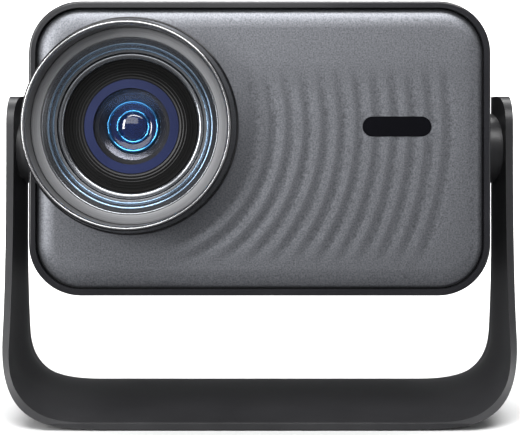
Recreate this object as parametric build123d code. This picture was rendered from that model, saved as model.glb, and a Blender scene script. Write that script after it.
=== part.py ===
from build123d import *
import math
import os

# Home projector: a box-shaped head that tilts between the arms of a crowned U stand.
# Frame: +Z up, the lens looks along -Y, +X is to the right of someone facing the lens.
# The origin is on the foot's lower face, straight below the tilt axis, at the tripod thread.
# All sizes are in millimetres.

# ---- driving dimensions: head ----
HEAD_WIDTH = 194.3
HEAD_HEIGHT = 124.0
HEAD_DEPTH = 124.0
HEAD_CORNER = 22.0
SLEEVE_WALL = 2.8
SLEEVE_EDGE = 1.0
PANEL_GAP = 0.35
PANEL_SET_BACK = 0.5
PANEL_THICK = 4.0
PANEL_PILLOW = 3.2
LEDGE_WIDTH = 2.2
LEDGE_THICK = 1.6
TILT_HEIGHT = 121.0

# ---- ripples of the front panel ----
RIPPLE_FIRST = 51.8
RIPPLE_PITCH = 7.35
RIPPLE_COUNT = 11
RIPPLE_DEPTH = 0.35
RIPPLE_TOP_MARGIN = 29.0
RIPPLE_BOTTOM_MARGIN = 16.0

# ---- lens group ----
LENS_X = -54.5
LENS_RISE = 9.4
BEZEL_FLANGE_R = 45.8
BEZEL_FLANGE_THICK = 2.4
BEZEL_LIP_R = 43.0
BEZEL_WALL = 1.6
BEZEL_REACH = 19.0
SPIGOT_WALL = 1.2
TRIM_WIDTH = 4.0
TRIM_THICK = 1.25
FUNNEL_DEPTH = 4.8
BARREL_R = 28.3
BARREL_FRONT_DROP = 5.0
BARREL_LENGTH = 33.0
TUBE_WALL = 2.6
FRONT_GLASS_R = 20.1
MIDDLE_GLASS_R = 15.6
REAR_GLASS_R = 22.4
RETAINER_WIDTH = 3.8
FOCUS_TRAVEL = 2.0
RACK_LENGTH = 12.0
RACK_WIDTH = 5.6
GEAR_MODULE = 0.5
PINION_TEETH = 16
PINION_SHAFT_R = 1.0
MOTOR_R = 7.0
MOTOR_LENGTH = 18.0

# ---- light engine ----
ENGINE_HALF_HEIGHT = 32.0
ENGINE_FRONT = -20.0
ENGINE_REAR = 54.0
ENGINE_WALL = 2.0
LCD_X = -12.0
LCD_WIDTH = 68.0
LCD_HEIGHT = 48.0
MIRROR_LENGTH = 70.0
ENGINE_LENGTH = 110.3
SINK_LENGTH = 50.0
SINK_DEPTH = 58.0
FIN_COUNT = 12
FIN_THICK = 0.9
PIPE_R = 3.0
FAN_SIZE = 60.0
FAN_DEPTH = 15.0
BLOWER_SIZE = 50.0

# ---- stand and hinge ----
ARM_GAP = 10.45
ARM_CROWN = 6.5
ARM_EDGE = 3.0
ARM_RISE = 23.9
ARM_HALF_DEPTH = 20.0
ARM_TOP_CORNER = 13.0
SWEEP_IN = 0.437
SWEEP_LOW = 0.111
SWEEP_HIGH = 0.214
ABOVE_ARMS = 20.0
BASE_HALF_DEPTH = 51.0
BASE_CROWN_TOP = 12.4
BASE_EDGE = 2.5
OUTER_CORNER = (45.0, 36.8, 0.735)
INNER_CORNER = (34.9, 24.5, 0.72)
FOOT_PROUD = 0.65
FOOT_SUNK = 1.0
FOOT_LENGTH = 150.0
FOOT_DEPTH = 100.8
FOOT_CORNER = 9.0
SHAFT_R = 5.0
SHAFT_FLANGE_R = 10.5
HUB_R = 17.0
HUB_SPIGOT_R = 14.0
ARM_BOSS_RISE = 3.2
TILT_UP = 100.0
TILT_DOWN = 30.0
STOP_RADIUS = 13.0
STOP_PIN_R = 1.4
TRIPOD_R = 2.6
TRIPOD_LENGTH = 8.0

# ---- electronics, sound and controls ----
WINDOW_LENGTH = 28.9
WINDOW_HEIGHT = 8.3
WINDOW_X = 57.8
WINDOW_RISE = 9.2
WINDOW_THICK = 1.6
SPEAKER_R = 16.0
SPEAKER_Y = -37.0
SPEAKER_DEPTH = 15.0
SPEAKER_INSET = 2.5
CONE_TRAVEL = 0.6
BOARD_THICK = 1.6
BUTTON_R = 5.0
BUTTON_TRAVEL = 0.8
INLET_WIDTH = 22.0
INLET_HEIGHT = 14.0
CASE_SCREW_R = 1.4

# ---- hinge fittings ----
CAP_THICK = 1.1
FLANGE_THICK = 2.4
SCREW_HEAD_THICK = 1.2
HINGE_SCREW_R = 1.25
HINGE_SCREW_HEAD_R = 2.3
BRACKET_THICK = 2.0
WASHER_THICK = 1.9
NUT_THICK = 3.4

# ---- case, cooling and electronics fittings ----
SCREW_POST_LENGTH = 14.0
INTAKE_COUNT = 9
INTAKE_PITCH = 7.0
INTAKE_Y = -34.0
INTAKE_LENGTH = 26.0
GRILLE_LENGTH = 38.0
GRILLE_HEIGHT = 25.0
GRILLE_CORNER = 8.0
VENT_COUNT = 9
VENT_PITCH = 6.0
VENT_LENGTH = 52.0
VENT_HEIGHT = 3.4
PORT_X = (-52.0, -34.0, -19.0, -6.0)
PORT_WIDTH = (15.2, 13.2, 13.2, 7.0)
PORT_HEIGHT = (6.0, 6.6, 6.6, 7.0)
PORT_DEPTH = 15.0
PORT_WALL = 0.5
CONDENSER_R = 25.0
PIPE_PLACES = ((-16.0, -12.0), (0.0, 12.0), (16.0, -12.0))
FAN_HUB_R = 13.0
FAN_BLADES = 7
AXLE_R = 1.5
BLOWER_DEPTH = 15.0
BLOWER_WALL = 1.6
ENGINE_POST_R = 4.0
TRAY_FRONT = -14.0
BOARD_LEFT = -64.0
BOARD_RIGHT = 34.0
BOARD_FRONT = -12.0
PIN_SPACING = 8.6
PIN_R = 1.2
SOCKET_WIDTH = 16.4
SOCKET_HEIGHT = 8.4
SOCKET_DEPTH = 12.5
BUTTON_PROUD = 1.2
BUTTON_STEM_R = 2.0

# ---- clearances ----
SEAT_GAP = 0.1
RUN_GAP = 0.06
BODY_GAP = 0.3
SCREW_GAP = 0.05

# ---- places worked out from the sizes above ----
HALF_WIDTH = HEAD_WIDTH / 2
HALF_HEIGHT = HEAD_HEIGHT / 2
FRONT = -HEAD_DEPTH / 2
REAR = HEAD_DEPTH / 2
INNER_HALF_WIDTH = HALF_WIDTH - SLEEVE_WALL
HEAD_FLOOR = TILT_HEIGHT - HALF_HEIGHT + SLEEVE_WALL
HEAD_CEILING = TILT_HEIGHT + HALF_HEIGHT - SLEEVE_WALL
PANEL_INSET = SLEEVE_WALL + PANEL_GAP
PANEL_FRONT = FRONT + PANEL_SET_BACK
PANEL_BACK = PANEL_FRONT + PANEL_THICK
COVER_BACK = REAR - PANEL_SET_BACK
COVER_FRONT = COVER_BACK - PANEL_THICK
LENS_Z = TILT_HEIGHT + LENS_RISE
TUBE_BORE_R = BARREL_R + RUN_GAP
TUBE_R = TUBE_BORE_R + TUBE_WALL
FUNNEL_HOLE_R = TUBE_R + SEAT_GAP
TRIM_R = BEZEL_LIP_R - BEZEL_WALL - SEAT_GAP
TRIM_HOLE_R = TRIM_R - TRIM_WIDTH
SPIGOT_R = TRIM_HOLE_R + SEAT_GAP + SPIGOT_WALL
FLANGE_BACK = FRONT - 0.2
FLANGE_FRONT = FLANGE_BACK - BEZEL_FLANGE_THICK
TRIM_FRONT = FLANGE_FRONT + 0.4
BARREL_FRONT = FRONT + BARREL_FRONT_DROP
BARREL_BACK = BARREL_FRONT + BARREL_LENGTH
RACK_Y = BARREL_FRONT + BARREL_LENGTH / 2 + 2.5
PITCH_RISE = TUBE_R + 2.6
PINION_R = GEAR_MODULE * PINION_TEETH / 2
PINION_Z = LENS_Z + PITCH_RISE + PINION_R
ENGINE_LEFT = LENS_X - 29.8
ENGINE_RIGHT = ENGINE_LEFT + ENGINE_LENGTH
ENGINE_BOTTOM = LENS_Z - ENGINE_HALF_HEIGHT
ENGINE_TOP = LENS_Z + ENGINE_HALF_HEIGHT
PATH_Y = (ENGINE_FRONT + ENGINE_REAR) / 2
LED_X = ENGINE_RIGHT + SEAT_GAP
SINK_X = LED_X + 2.2
FAN_X = ENGINE_RIGHT + 1.0 + FAN_SIZE / 2
FAN_FRONT = COVER_FRONT - FAN_DEPTH - 1.5
ARM_OUTER = HALF_WIDTH + ARM_GAP + ARM_CROWN
ARM_TOP = TILT_HEIGHT + ARM_RISE
ARM_FACE = HALF_WIDTH + ARM_GAP - ARM_BOSS_RISE
HUB_FACE = ARM_FACE - BODY_GAP
SHAFT_END = INNER_HALF_WIDTH - 8.8
TRAY_TOP = HEAD_FLOOR + 2.1
MAIN_BOARD_Z = TRAY_TOP + 8.0
SPEAKER_Z = HEAD_FLOOR + SPEAKER_R + 17.0
BUTTON_Z = (ENGINE_TOP + HEAD_CEILING) / 2
BLOWER_X = LENS_X + TUBE_R + BLOWER_SIZE / 2 + 24.0
INLET_X = FAN_X + 10.0
INLET_Z = MAIN_BOARD_Z + 5.0
CAP_R = HUB_R - 2.0
BLOWER_FRONT = PANEL_BACK + 7.5
TRAY_HALF = INNER_HALF_WIDTH - 6.0
TRAY_REAR = COVER_FRONT - LEDGE_THICK - 1.0
BOARD_REAR = TRAY_REAR - 0.5
SUPPLY_LEFT = BOARD_RIGHT + 6.0
SUPPLY_RIGHT = SUPPLY_LEFT + 39.0
SUPPLY_Z = TRAY_TOP + 4.0
SIDES = (-1, 1)


# ---- shape helpers ----
def facing(x, y, z):
    """Sketch plane with its X along +X and its normal toward -Y."""
    return Plane((x, y, z), x_dir=(1, 0, 0), z_dir=(0, -1, 0))


def block(x0, x1, y0, y1, z0, z1):
    """Box between two corners."""
    centre = Location(((x0 + x1) / 2, (y0 + y1) / 2, (z0 + z1) / 2))
    return centre * Box(abs(x1 - x0), abs(y1 - y0), abs(z1 - z0))


def rod(x, z, y0, y1, radius):
    """Cylinder along Y from y0 back to y1."""
    return extrude(facing(x, y1, z) * Circle(radius), amount=y1 - y0)


def axle(x0, x1, y, z, radius):
    """Cylinder along X between x0 and x1."""
    plane = Plane((min(x0, x1), y, z), x_dir=(0, 1, 0), z_dir=(1, 0, 0))
    return extrude(plane * Circle(radius), amount=abs(x1 - x0))


def post(x, y, z0, z1, radius):
    """Cylinder along Z between z0 and z1."""
    return extrude(Plane((x, y, z0)) * Circle(radius), amount=z1 - z0)


def slab(shape, x, y0, y1, z):
    """Flat shape in the XZ plane, made solid from y0 back to y1."""
    return extrude(facing(x, y1, z) * shape, amount=y1 - y0)


def turned(profile, x=LENS_X, z=LENS_Z):
    """Solid of revolution about the line along Y through (x, z), from (radius, y) points."""
    outline = Plane((x, 0, z)) * make_face(Polyline(*profile, close=True))
    return revolve(outline, Axis((x, 0, z), (0, 1, 0)))


def ball_radius(radius, sag):
    """Radius of the sphere whose cap has this rim radius and this height."""
    return (radius * radius + sag * sag) / (2 * abs(sag))


def glass(radius, front, back, front_sag, back_sag):
    """Lens element; a positive sag bulges outward and a negative one is hollow."""
    body = rod(LENS_X, LENS_Z, front - max(front_sag, 0), back + max(back_sag, 0), radius)
    for edge, sag, out in ((front, front_sag, -1), (back, back_sag, 1)):
        ball = ball_radius(radius, sag)
        apex = edge + out * sag
        if sag > 0:
            body = body & Pos(LENS_X, apex - out * ball, LENS_Z) * Sphere(ball)
        else:
            body = body - Pos(LENS_X, apex + out * ball, LENS_Z) * Sphere(ball)
    return body


def both_sides(make):
    """The same piece made for the left and the right side."""
    return Compound(children=[solid for side in SIDES for solid in make(side).solids()])


def group(pieces):
    """Separate solids that share one node."""
    return Compound(children=[solid for piece in pieces for solid in piece.solids()])


# ---- stand ----
def crown(y, half_depth, edge, middle):
    """Crowned face at depth y: edge at the rim and beyond it, middle on the centre."""
    share = min(abs(y) / half_depth, 1.0)
    return edge + (middle - edge) * (1.0 - share * share)


def swell(y, half_depth, edge, middle):
    """Bell-shaped thickening at depth y: middle on the centre, about edge at the rim."""
    return edge + (middle - edge) * math.exp(-((1.5 * y / half_depth) ** 2))


def soft_corner(side, x, low, corner):
    """Curve from the flat bottom at height low up to the upright at x; squarer than an arc."""
    along, up, pull = corner
    return Bezier(
        (side * (x - along), low),
        (side * (x - along * (1.0 - pull)), low),
        (side * x, low + up * (1.0 - pull)),
        (side * x, low + up),
    )


def u_outline(y, x, low, high, corner):
    """Upright U-shaped face at depth y with soft lower corners."""
    along, up, _ = corner
    edges = [
        Line((-x, high), (x, high)),
        Line((x, high), (x, low + up)),
        soft_corner(1, x, low, corner),
        Line((x - along, low), (along - x, low)),
        soft_corner(-1, x, low, corner),
        Line((-x, low + up), (-x, high)),
    ]
    return facing(0, y, 0) * make_face(edges)


def opening_section(y):
    """Section of the space between the arms at depth y."""
    half = ARM_OUTER - swell(y, ARM_HALF_DEPTH, ARM_EDGE, ARM_CROWN)
    low = crown(y, BASE_HALF_DEPTH, FOOT_PROUD + BASE_EDGE, BASE_CROWN_TOP)
    return u_outline(y, half, low, ARM_TOP + ABOVE_ARMS, INNER_CORNER)


def stand_side_profile():
    """Side view of the stand: a wide foot that draws in to the arms."""
    foot_front = -BASE_HALF_DEPTH
    arm_front = -ARM_HALF_DEPTH
    low = FOOT_PROUD
    shoulder = low + BASE_EDGE
    straight = TILT_HEIGHT
    bend = ARM_TOP_CORNER * (1.0 - math.sqrt(0.5))
    reach = straight - shoulder

    def half_outline(s):
        return [
            Line((s * foot_front, low), (s * foot_front, shoulder)),
            Bezier(
                (s * foot_front, shoulder),
                (s * (foot_front + SWEEP_IN * (arm_front - foot_front)), shoulder + SWEEP_LOW * reach),
                (s * arm_front, shoulder + SWEEP_HIGH * reach),
                (s * arm_front, straight),
            ),
            Line((s * arm_front, straight), (s * arm_front, ARM_TOP - ARM_TOP_CORNER)),
            ThreePointArc(
                (s * arm_front, ARM_TOP - ARM_TOP_CORNER),
                (s * (arm_front + bend), ARM_TOP - bend),
                (s * (arm_front + ARM_TOP_CORNER), ARM_TOP),
            ),
        ]

    top_half = arm_front + ARM_TOP_CORNER
    edges = half_outline(1) + half_outline(-1)
    edges.append(Line((top_half, ARM_TOP), (-top_half, ARM_TOP)))
    edges.append(Line((foot_front, low), (-foot_front, low)))
    plane = Plane((-ARM_OUTER - 5, 0, 0), x_dir=(0, 1, 0), z_dir=(1, 0, 0))
    return extrude(plane * make_face(edges), amount=2 * ARM_OUTER + 10)


def stand_outer_block():
    """Outside of the U, its lower corners soft, deeper than the foot."""
    reach = BASE_HALF_DEPTH + 5.0
    face = u_outline(reach, ARM_OUTER, FOOT_PROUD, ARM_TOP + ABOVE_ARMS / 2, OUTER_CORNER)
    return extrude(face, amount=2 * reach)


def stand_band():
    """U-shaped band with crowned inner faces, pockets for the hinges and for the foot."""
    half_steps = (0.08, 0.16, 0.25, 0.34, 0.45, 0.6, 0.8, 1.1)
    steps = [-step for step in reversed(half_steps)] + [0.0] + list(half_steps)
    space = loft([opening_section(step * BASE_HALF_DEPTH) for step in steps])
    body = stand_outer_block() & stand_side_profile()
    band = body - space
    for side in SIDES:
        band = band + arm_boss(side)
        band = band - hinge_pockets(side)
    pad = extrude(
        Plane((0, 0, FOOT_PROUD)) * RectangleRounded(
            FOOT_LENGTH + 2 * SEAT_GAP, FOOT_DEPTH + 2 * SEAT_GAP, FOOT_CORNER + SEAT_GAP
        ),
        amount=FOOT_SUNK,
    )
    insert_top = FOOT_PROUD + FOOT_SUNK + TRIPOD_LENGTH
    return band - pad - post(0, 0, 0, insert_top + SEAT_GAP, TRIPOD_R + 3.0)


def arm_boss(side):
    """Round boss on the inner face of an arm, around the hinge."""
    return axle(side * ARM_FACE, side * (ARM_OUTER - 1), 0, TILT_HEIGHT, HUB_R - 1.0)


def hinge_screw_places():
    """Y and Z of the three screws that hold a hinge shaft."""
    radius = SHAFT_FLANGE_R - 3.0
    angles = [math.radians(30 + 120 * turn) for turn in range(3)]
    return [(radius * math.cos(a), TILT_HEIGHT + radius * math.sin(a)) for a in angles]


def hinge_pockets(side):
    """Holes of one arm: shaft flange inside, cap outside, screws between, and the stop pin."""
    flange = axle(
        side * (ARM_FACE - 1), side * (ARM_FACE + FLANGE_THICK), 0, TILT_HEIGHT,
        SHAFT_FLANGE_R + SEAT_GAP,
    )
    cap_floor = ARM_OUTER - CAP_THICK - SEAT_GAP
    cap = axle(side * cap_floor, side * (ARM_OUTER + 1), 0, TILT_HEIGHT, CAP_R + SEAT_GAP)
    cuts = flange + cap
    for y, z in hinge_screw_places():
        head_floor = cap_floor - SCREW_HEAD_THICK
        cuts = cuts + axle(side * ARM_FACE, side * ARM_OUTER, y, z, HINGE_SCREW_R + SCREW_GAP)
        cuts = cuts + axle(
            side * head_floor, side * ARM_OUTER, y, z, HINGE_SCREW_HEAD_R + SEAT_GAP
        )
    pin_floor = ARM_FACE + 3.0
    return cuts + axle(
        side * (ARM_FACE - 1), side * pin_floor, 0, TILT_HEIGHT + STOP_RADIUS, STOP_PIN_R
    )


def foot_pad():
    """Soft strip let into the underside of the base, with a hole for the tripod insert."""
    outline = RectangleRounded(FOOT_LENGTH, FOOT_DEPTH, FOOT_CORNER)
    pad = extrude(outline, amount=FOOT_PROUD + FOOT_SUNK)
    return pad - post(0, 0, -1, FOOT_PROUD + FOOT_SUNK + 1, TRIPOD_R + 5.5 + SEAT_GAP)


def tripod_insert():
    """Flanged metal insert with the tripod thread, flush with the foot."""
    flange_top = FOOT_PROUD + FOOT_SUNK
    flange = post(0, 0, 0, flange_top, TRIPOD_R + 5.5)
    barrel = post(0, 0, flange_top, flange_top + TRIPOD_LENGTH, TRIPOD_R + 3.0 - SEAT_GAP)
    return flange + barrel - post(0, 0, -1, TRIPOD_LENGTH, TRIPOD_R)


def hinge_shaft(side):
    """Flanged steel shaft, fixed in an arm and running through the head's hub."""
    shaft = axle(side * SHAFT_END, side * ARM_FACE, 0, TILT_HEIGHT, SHAFT_R)
    flange = axle(
        side * ARM_FACE, side * (ARM_FACE + FLANGE_THICK), 0, TILT_HEIGHT, SHAFT_FLANGE_R
    )
    whole = shaft + flange
    for y, z in hinge_screw_places():
        whole = whole - axle(
            side * (ARM_FACE - 1), side * (ARM_FACE + 5), y, z, HINGE_SCREW_R + SCREW_GAP
        )
    return whole


def arm_cap(side):
    """Round cap, flush with the outside of an arm, over the hinge screws."""
    cap = axle(side * (ARM_OUTER - CAP_THICK), side * ARM_OUTER, 0, TILT_HEIGHT, CAP_R)
    return cap


def arm_screws(side):
    """Three screws that hold a hinge shaft to its arm."""
    head_floor = ARM_OUTER - CAP_THICK - SEAT_GAP - SCREW_HEAD_THICK
    screws = []
    for y, z in hinge_screw_places():
        shank = axle(side * (ARM_FACE + 0.2), side * head_floor, y, z, HINGE_SCREW_R)
        head = axle(
            side * head_floor, side * (head_floor + SCREW_HEAD_THICK), y, z, HINGE_SCREW_HEAD_R
        )
        screws.append(shank + head)
    return group(screws)


def stop_pin(side):
    """Pin in an arm that limits the tilt by running in the hub's curved slot."""
    return axle(
        side * (HUB_FACE - 2.4), side * (ARM_FACE + 2.9), 0, TILT_HEIGHT + STOP_RADIUS,
        STOP_PIN_R - SCREW_GAP,
    )


def friction_washer(side):
    """Disc spring on the shaft that gives the tilt its friction."""
    start = INNER_HALF_WIDTH - SEAT_GAP - BRACKET_THICK - BODY_GAP
    outer = axle(side * (start - WASHER_THICK), side * start, 0, TILT_HEIGHT, SHAFT_R + 4.5)
    return outer - axle(side * SHAFT_END, side * HALF_WIDTH, 0, TILT_HEIGHT, SHAFT_R + SCREW_GAP)


def hinge_nut(side):
    """Hexagon nut that closes the hinge inside the head."""
    start = INNER_HALF_WIDTH - SEAT_GAP - BRACKET_THICK - BODY_GAP - WASHER_THICK
    plane = Plane((side * start, 0, TILT_HEIGHT), x_dir=(0, 1, 0), z_dir=(-side, 0, 0))
    nut = extrude(plane * RegularPolygon(SHAFT_R + 3.5, 6), amount=NUT_THICK)
    return nut - axle(side * SHAFT_END, side * HALF_WIDTH, 0, TILT_HEIGHT, SHAFT_R + SCREW_GAP)


# ---- head: case ----
def sleeve_outline(inset):
    """Outline of the sleeve, moved inward by inset."""
    return RectangleRounded(
        HEAD_WIDTH - 2 * inset, HEAD_HEIGHT - 2 * inset, HEAD_CORNER - inset
    )


def case_screw_places():
    """X and Z of the four screws of the rear cover."""
    reach = (HEAD_CORNER - SLEEVE_WALL - 4.0) * math.sqrt(0.5)
    x = HALF_WIDTH - HEAD_CORNER + reach
    z = HALF_HEIGHT - HEAD_CORNER + reach
    return [(sx * x, TILT_HEIGHT + sz * z) for sx in SIDES for sz in SIDES]


def grille_outline(growth):
    """Outline of a speaker grille, grown by a clearance."""
    return RectangleRounded(
        GRILLE_LENGTH + 2 * growth, GRILLE_HEIGHT + 2 * growth, GRILLE_CORNER + growth
    )


def grille_plane(side, x):
    """Plane on a side wall with its normal pointing away from the head."""
    return Plane((side * x, SPEAKER_Y, SPEAKER_Z), x_dir=(0, 1, 0), z_dir=(side, 0, 0))


def housing_shell():
    """Open sleeve of the head with its ledges, screw posts and side openings."""
    sleeve = slab(sleeve_outline(0), 0, FRONT, REAR, TILT_HEIGHT)
    rims = sleeve.edges().filter_by_position(Axis.Y, FRONT - 0.01, FRONT + 0.01)
    rims = rims + sleeve.edges().filter_by_position(Axis.Y, REAR - 0.01, REAR + 0.01)
    sleeve = fillet(rims, SLEEVE_EDGE)
    sleeve = sleeve - slab(sleeve_outline(SLEEVE_WALL), 0, FRONT - 1, REAR + 1, TILT_HEIGHT)
    hole = sleeve_outline(SLEEVE_WALL + LEDGE_WIDTH)
    for start in (PANEL_BACK, COVER_FRONT - LEDGE_THICK):
        ledge = slab(sleeve_outline(SLEEVE_WALL / 2), 0, start, start + LEDGE_THICK, TILT_HEIGHT)
        sleeve = sleeve + (ledge - slab(hole, 0, start - 1, start + 5, TILT_HEIGHT))
    sleeve = sleeve - rod(
        LENS_X, LENS_Z, PANEL_BACK - 1, PANEL_BACK + LEDGE_THICK + 1, SPIGOT_R + SEAT_GAP
    )
    for x, z in case_screw_places():
        sleeve = sleeve + rod(x, z, COVER_FRONT - SCREW_POST_LENGTH, COVER_FRONT, 5.0)
        sleeve = sleeve - rod(
            x, z, COVER_FRONT - SCREW_POST_LENGTH + 3, REAR, CASE_SCREW_R + SCREW_GAP
        )
    for side in SIDES:
        sleeve = sleeve - axle(
            side * (INNER_HALF_WIDTH - 1), side * (HALF_WIDTH + 1), 0, TILT_HEIGHT,
            HUB_SPIGOT_R + SEAT_GAP,
        )
        window = grille_plane(side, INNER_HALF_WIDTH - 0.5) * grille_outline(SEAT_GAP)
        sleeve = sleeve - extrude(window, amount=SLEEVE_WALL + 1)
    for index in range(INTAKE_COUNT):
        x = (index - (INTAKE_COUNT - 1) / 2) * INTAKE_PITCH
        slot = Plane((x, INTAKE_Y, HEAD_FLOOR - SLEEVE_WALL - 1)) * Rot(0, 0, 90) * SlotOverall(
            INTAKE_LENGTH, 3.0
        )
        sleeve = sleeve - extrude(slot, amount=SLEEVE_WALL + 2)
    return sleeve


def ripple_cutter():
    """Rings of saw-tooth section about the lens, kept to a band across the panel."""
    teeth = []
    for index in range(RIPPLE_COUNT):
        inner = RIPPLE_FIRST + index * RIPPLE_PITCH
        low = PANEL_FRONT + RIPPLE_DEPTH
        teeth.append(
            turned([(inner, PANEL_FRONT - 1), (inner, low),
                    (inner + RIPPLE_PITCH, PANEL_FRONT), (inner + RIPPLE_PITCH, PANEL_FRONT - 1)])
        )
    band = block(
        LENS_X + RIPPLE_FIRST * 0.6, HALF_WIDTH - PANEL_INSET - PANEL_PILLOW,
        PANEL_FRONT - 2, PANEL_FRONT + 2,
        TILT_HEIGHT - HALF_HEIGHT + RIPPLE_BOTTOM_MARGIN,
        TILT_HEIGHT + HALF_HEIGHT - RIPPLE_TOP_MARGIN,
    )
    return [tooth & band for tooth in teeth]


def window_pill(growth):
    """Outline of the sensor window, grown by a clearance."""
    return SlotOverall(WINDOW_LENGTH + 2 * growth, WINDOW_HEIGHT + 2 * growth)


def front_panel():
    """Inset front plate with rounded edge, lens hole, sensor window and ripples."""
    panel = slab(sleeve_outline(PANEL_INSET), 0, PANEL_FRONT, PANEL_BACK, TILT_HEIGHT)
    rim = panel.edges().filter_by_position(Axis.Y, PANEL_FRONT - 0.01, PANEL_FRONT + 0.01)
    panel = fillet(rim, PANEL_PILLOW)
    for tooth in ripple_cutter():
        panel = panel - tooth
    window_z = TILT_HEIGHT + WINDOW_RISE
    seat = slab(
        window_pill(SEAT_GAP), WINDOW_X, PANEL_FRONT - 1, PANEL_FRONT + WINDOW_THICK, window_z
    )
    light = slab(window_pill(-1.2), WINDOW_X, PANEL_FRONT, PANEL_BACK + 1, window_z)
    return panel - seat - light - rod(
        LENS_X, LENS_Z, PANEL_FRONT - 1, PANEL_BACK + 1, SPIGOT_R + SEAT_GAP
    )


def sensor_window():
    """Dark pill-shaped window over the camera and the distance sensor."""
    return slab(
        window_pill(0), WINDOW_X, PANEL_FRONT - 0.05, PANEL_FRONT + WINDOW_THICK,
        TILT_HEIGHT + WINDOW_RISE,
    )


def rear_cover():
    """Rear plate with the exhaust slots and the openings for ports, inlet and button."""
    cover = slab(sleeve_outline(PANEL_INSET), 0, COVER_FRONT, COVER_BACK, TILT_HEIGHT)
    rim = cover.edges().filter_by_position(Axis.Y, COVER_BACK - 0.01, COVER_BACK + 0.01)
    cover = fillet(rim, PANEL_PILLOW)
    for index in range(VENT_COUNT):
        z = LENS_Z + (index - (VENT_COUNT - 1) / 2) * VENT_PITCH
        cover = cover - slab(
            SlotOverall(VENT_LENGTH, VENT_HEIGHT), FAN_X, COVER_FRONT - 1, REAR + 1, z
        )
    for x, width, height in zip(PORT_X, PORT_WIDTH, PORT_HEIGHT):
        opening = RectangleRounded(width + 0.6, height + 0.6, 0.8)
        z = MAIN_BOARD_Z + BOARD_THICK + height / 2
        cover = cover - slab(opening, x, COVER_FRONT - 1, REAR + 1, z)
    inlet = RectangleRounded(INLET_WIDTH + 0.4, INLET_HEIGHT + 0.4, 2.2)
    cover = cover - slab(inlet, INLET_X, COVER_FRONT - 1, REAR + 1, INLET_Z)
    cover = cover - rod(0, BUTTON_Z, COVER_FRONT - 1, REAR + 1, BUTTON_R + BODY_GAP)
    for x, z in case_screw_places():
        cover = cover - rod(x, z, COVER_FRONT - 1, REAR + 1, CASE_SCREW_R + 0.2)
        cover = cover - rod(x, z, COVER_BACK - 1.6, REAR + 1, 2.9)
    return cover


def case_screws():
    """Four screws that hold the rear cover."""
    screws = []
    for x, z in case_screw_places():
        shank = rod(x, z, COVER_FRONT - 9.0, COVER_BACK - 1.6, CASE_SCREW_R)
        head = rod(x, z, COVER_BACK - 1.6, COVER_BACK - 0.2, 2.7)
        socket = slab(RegularPolygon(1.2, 6), x, COVER_BACK - 1.0, COVER_BACK + 1, z)
        screws.append(shank + head - socket)
    return group(screws)


def hub(side):
    """Boss between the head's side and the arm, with the tilt stop's curved slot."""
    flange = axle(side * (HALF_WIDTH + 0.1), side * HUB_FACE, 0, TILT_HEIGHT, HUB_R)
    spigot = axle(side * INNER_HALF_WIDTH, side * HUB_FACE, 0, TILT_HEIGHT, HUB_SPIGOT_R)
    bore = axle(
        side * (INNER_HALF_WIDTH - 1), side * (HUB_FACE + 1), 0, TILT_HEIGHT, SHAFT_R + RUN_GAP
    )
    return flange + spigot - bore - stop_slot(side)


def stop_slot(side):
    """Curved slot that the stop pin runs in from full tilt down to full tilt up."""
    depth_floor = HUB_FACE - 3.0
    half = STOP_PIN_R + 0.4
    margin = math.degrees((half + 0.2) / STOP_RADIUS)
    start = 90 - TILT_UP - margin
    sweep = TILT_UP + TILT_DOWN + 2 * margin
    plane = Plane((side * depth_floor, 0, TILT_HEIGHT), x_dir=(0, -1, 0), z_dir=(side, 0, 0))
    first = start if side < 0 else -start - sweep
    outer = STOP_RADIUS + half
    inner = STOP_RADIUS - half

    def at(radius, angle):
        turn = math.radians(angle)
        return (radius * math.cos(turn), radius * math.sin(turn))

    middle = first + sweep / 2
    edges = [
        ThreePointArc(at(outer, first), at(outer, middle), at(outer, first + sweep)),
        Line(at(outer, first + sweep), at(inner, first + sweep)),
        ThreePointArc(at(inner, first + sweep), at(inner, middle), at(inner, first)),
        Line(at(inner, first), at(outer, first)),
    ]
    return extrude(plane * make_face(edges), amount=4.0)


def hinge_bracket(side):
    """Steel plate inside the head that spreads the hinge's load over the side wall."""
    outer = INNER_HALF_WIDTH - SEAT_GAP
    plane = Plane((side * outer, 0, TILT_HEIGHT), x_dir=(0, 1, 0), z_dir=(-side, 0, 0))
    plate = extrude(plane * RectangleRounded(36, 34, 6), amount=BRACKET_THICK)
    return plate - axle(
        side * SHAFT_END, side * HALF_WIDTH, 0, TILT_HEIGHT, SHAFT_R + RUN_GAP
    )


# ---- head: lens group ----
def lens_bezel():
    """Deep round hood around the lens, on a flange in front of the panel."""
    lip = FRONT - BEZEL_REACH
    bore = BEZEL_LIP_R - BEZEL_WALL
    shelf = TRIM_FRONT + TRIM_THICK
    back = PANEL_BACK + 4.0
    return turned([
        (SPIGOT_R, back),
        (SPIGOT_R, FLANGE_BACK),
        (BEZEL_FLANGE_R, FLANGE_BACK),
        (BEZEL_FLANGE_R, FLANGE_FRONT + 0.6),
        (BEZEL_FLANGE_R - 0.6, FLANGE_FRONT),
        (BEZEL_LIP_R + 0.2, lip + 1.6),
        (BEZEL_LIP_R - 0.3, lip + 0.3),
        (BEZEL_LIP_R - 0.8, lip),
        (bore + 0.3, lip + 0.3),
        (bore, lip + 1.4),
        (bore, shelf),
        (TRIM_HOLE_R + SEAT_GAP, shelf),
        (TRIM_HOLE_R + SEAT_GAP, back),
    ])


def lens_trim_ring():
    """Flat brushed ring on the floor of the hood."""
    return turned([
        (TRIM_R, TRIM_FRONT), (TRIM_R, TRIM_FRONT + TRIM_THICK),
        (TRIM_HOLE_R, TRIM_FRONT + TRIM_THICK), (TRIM_HOLE_R, TRIM_FRONT),
    ])


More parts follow.
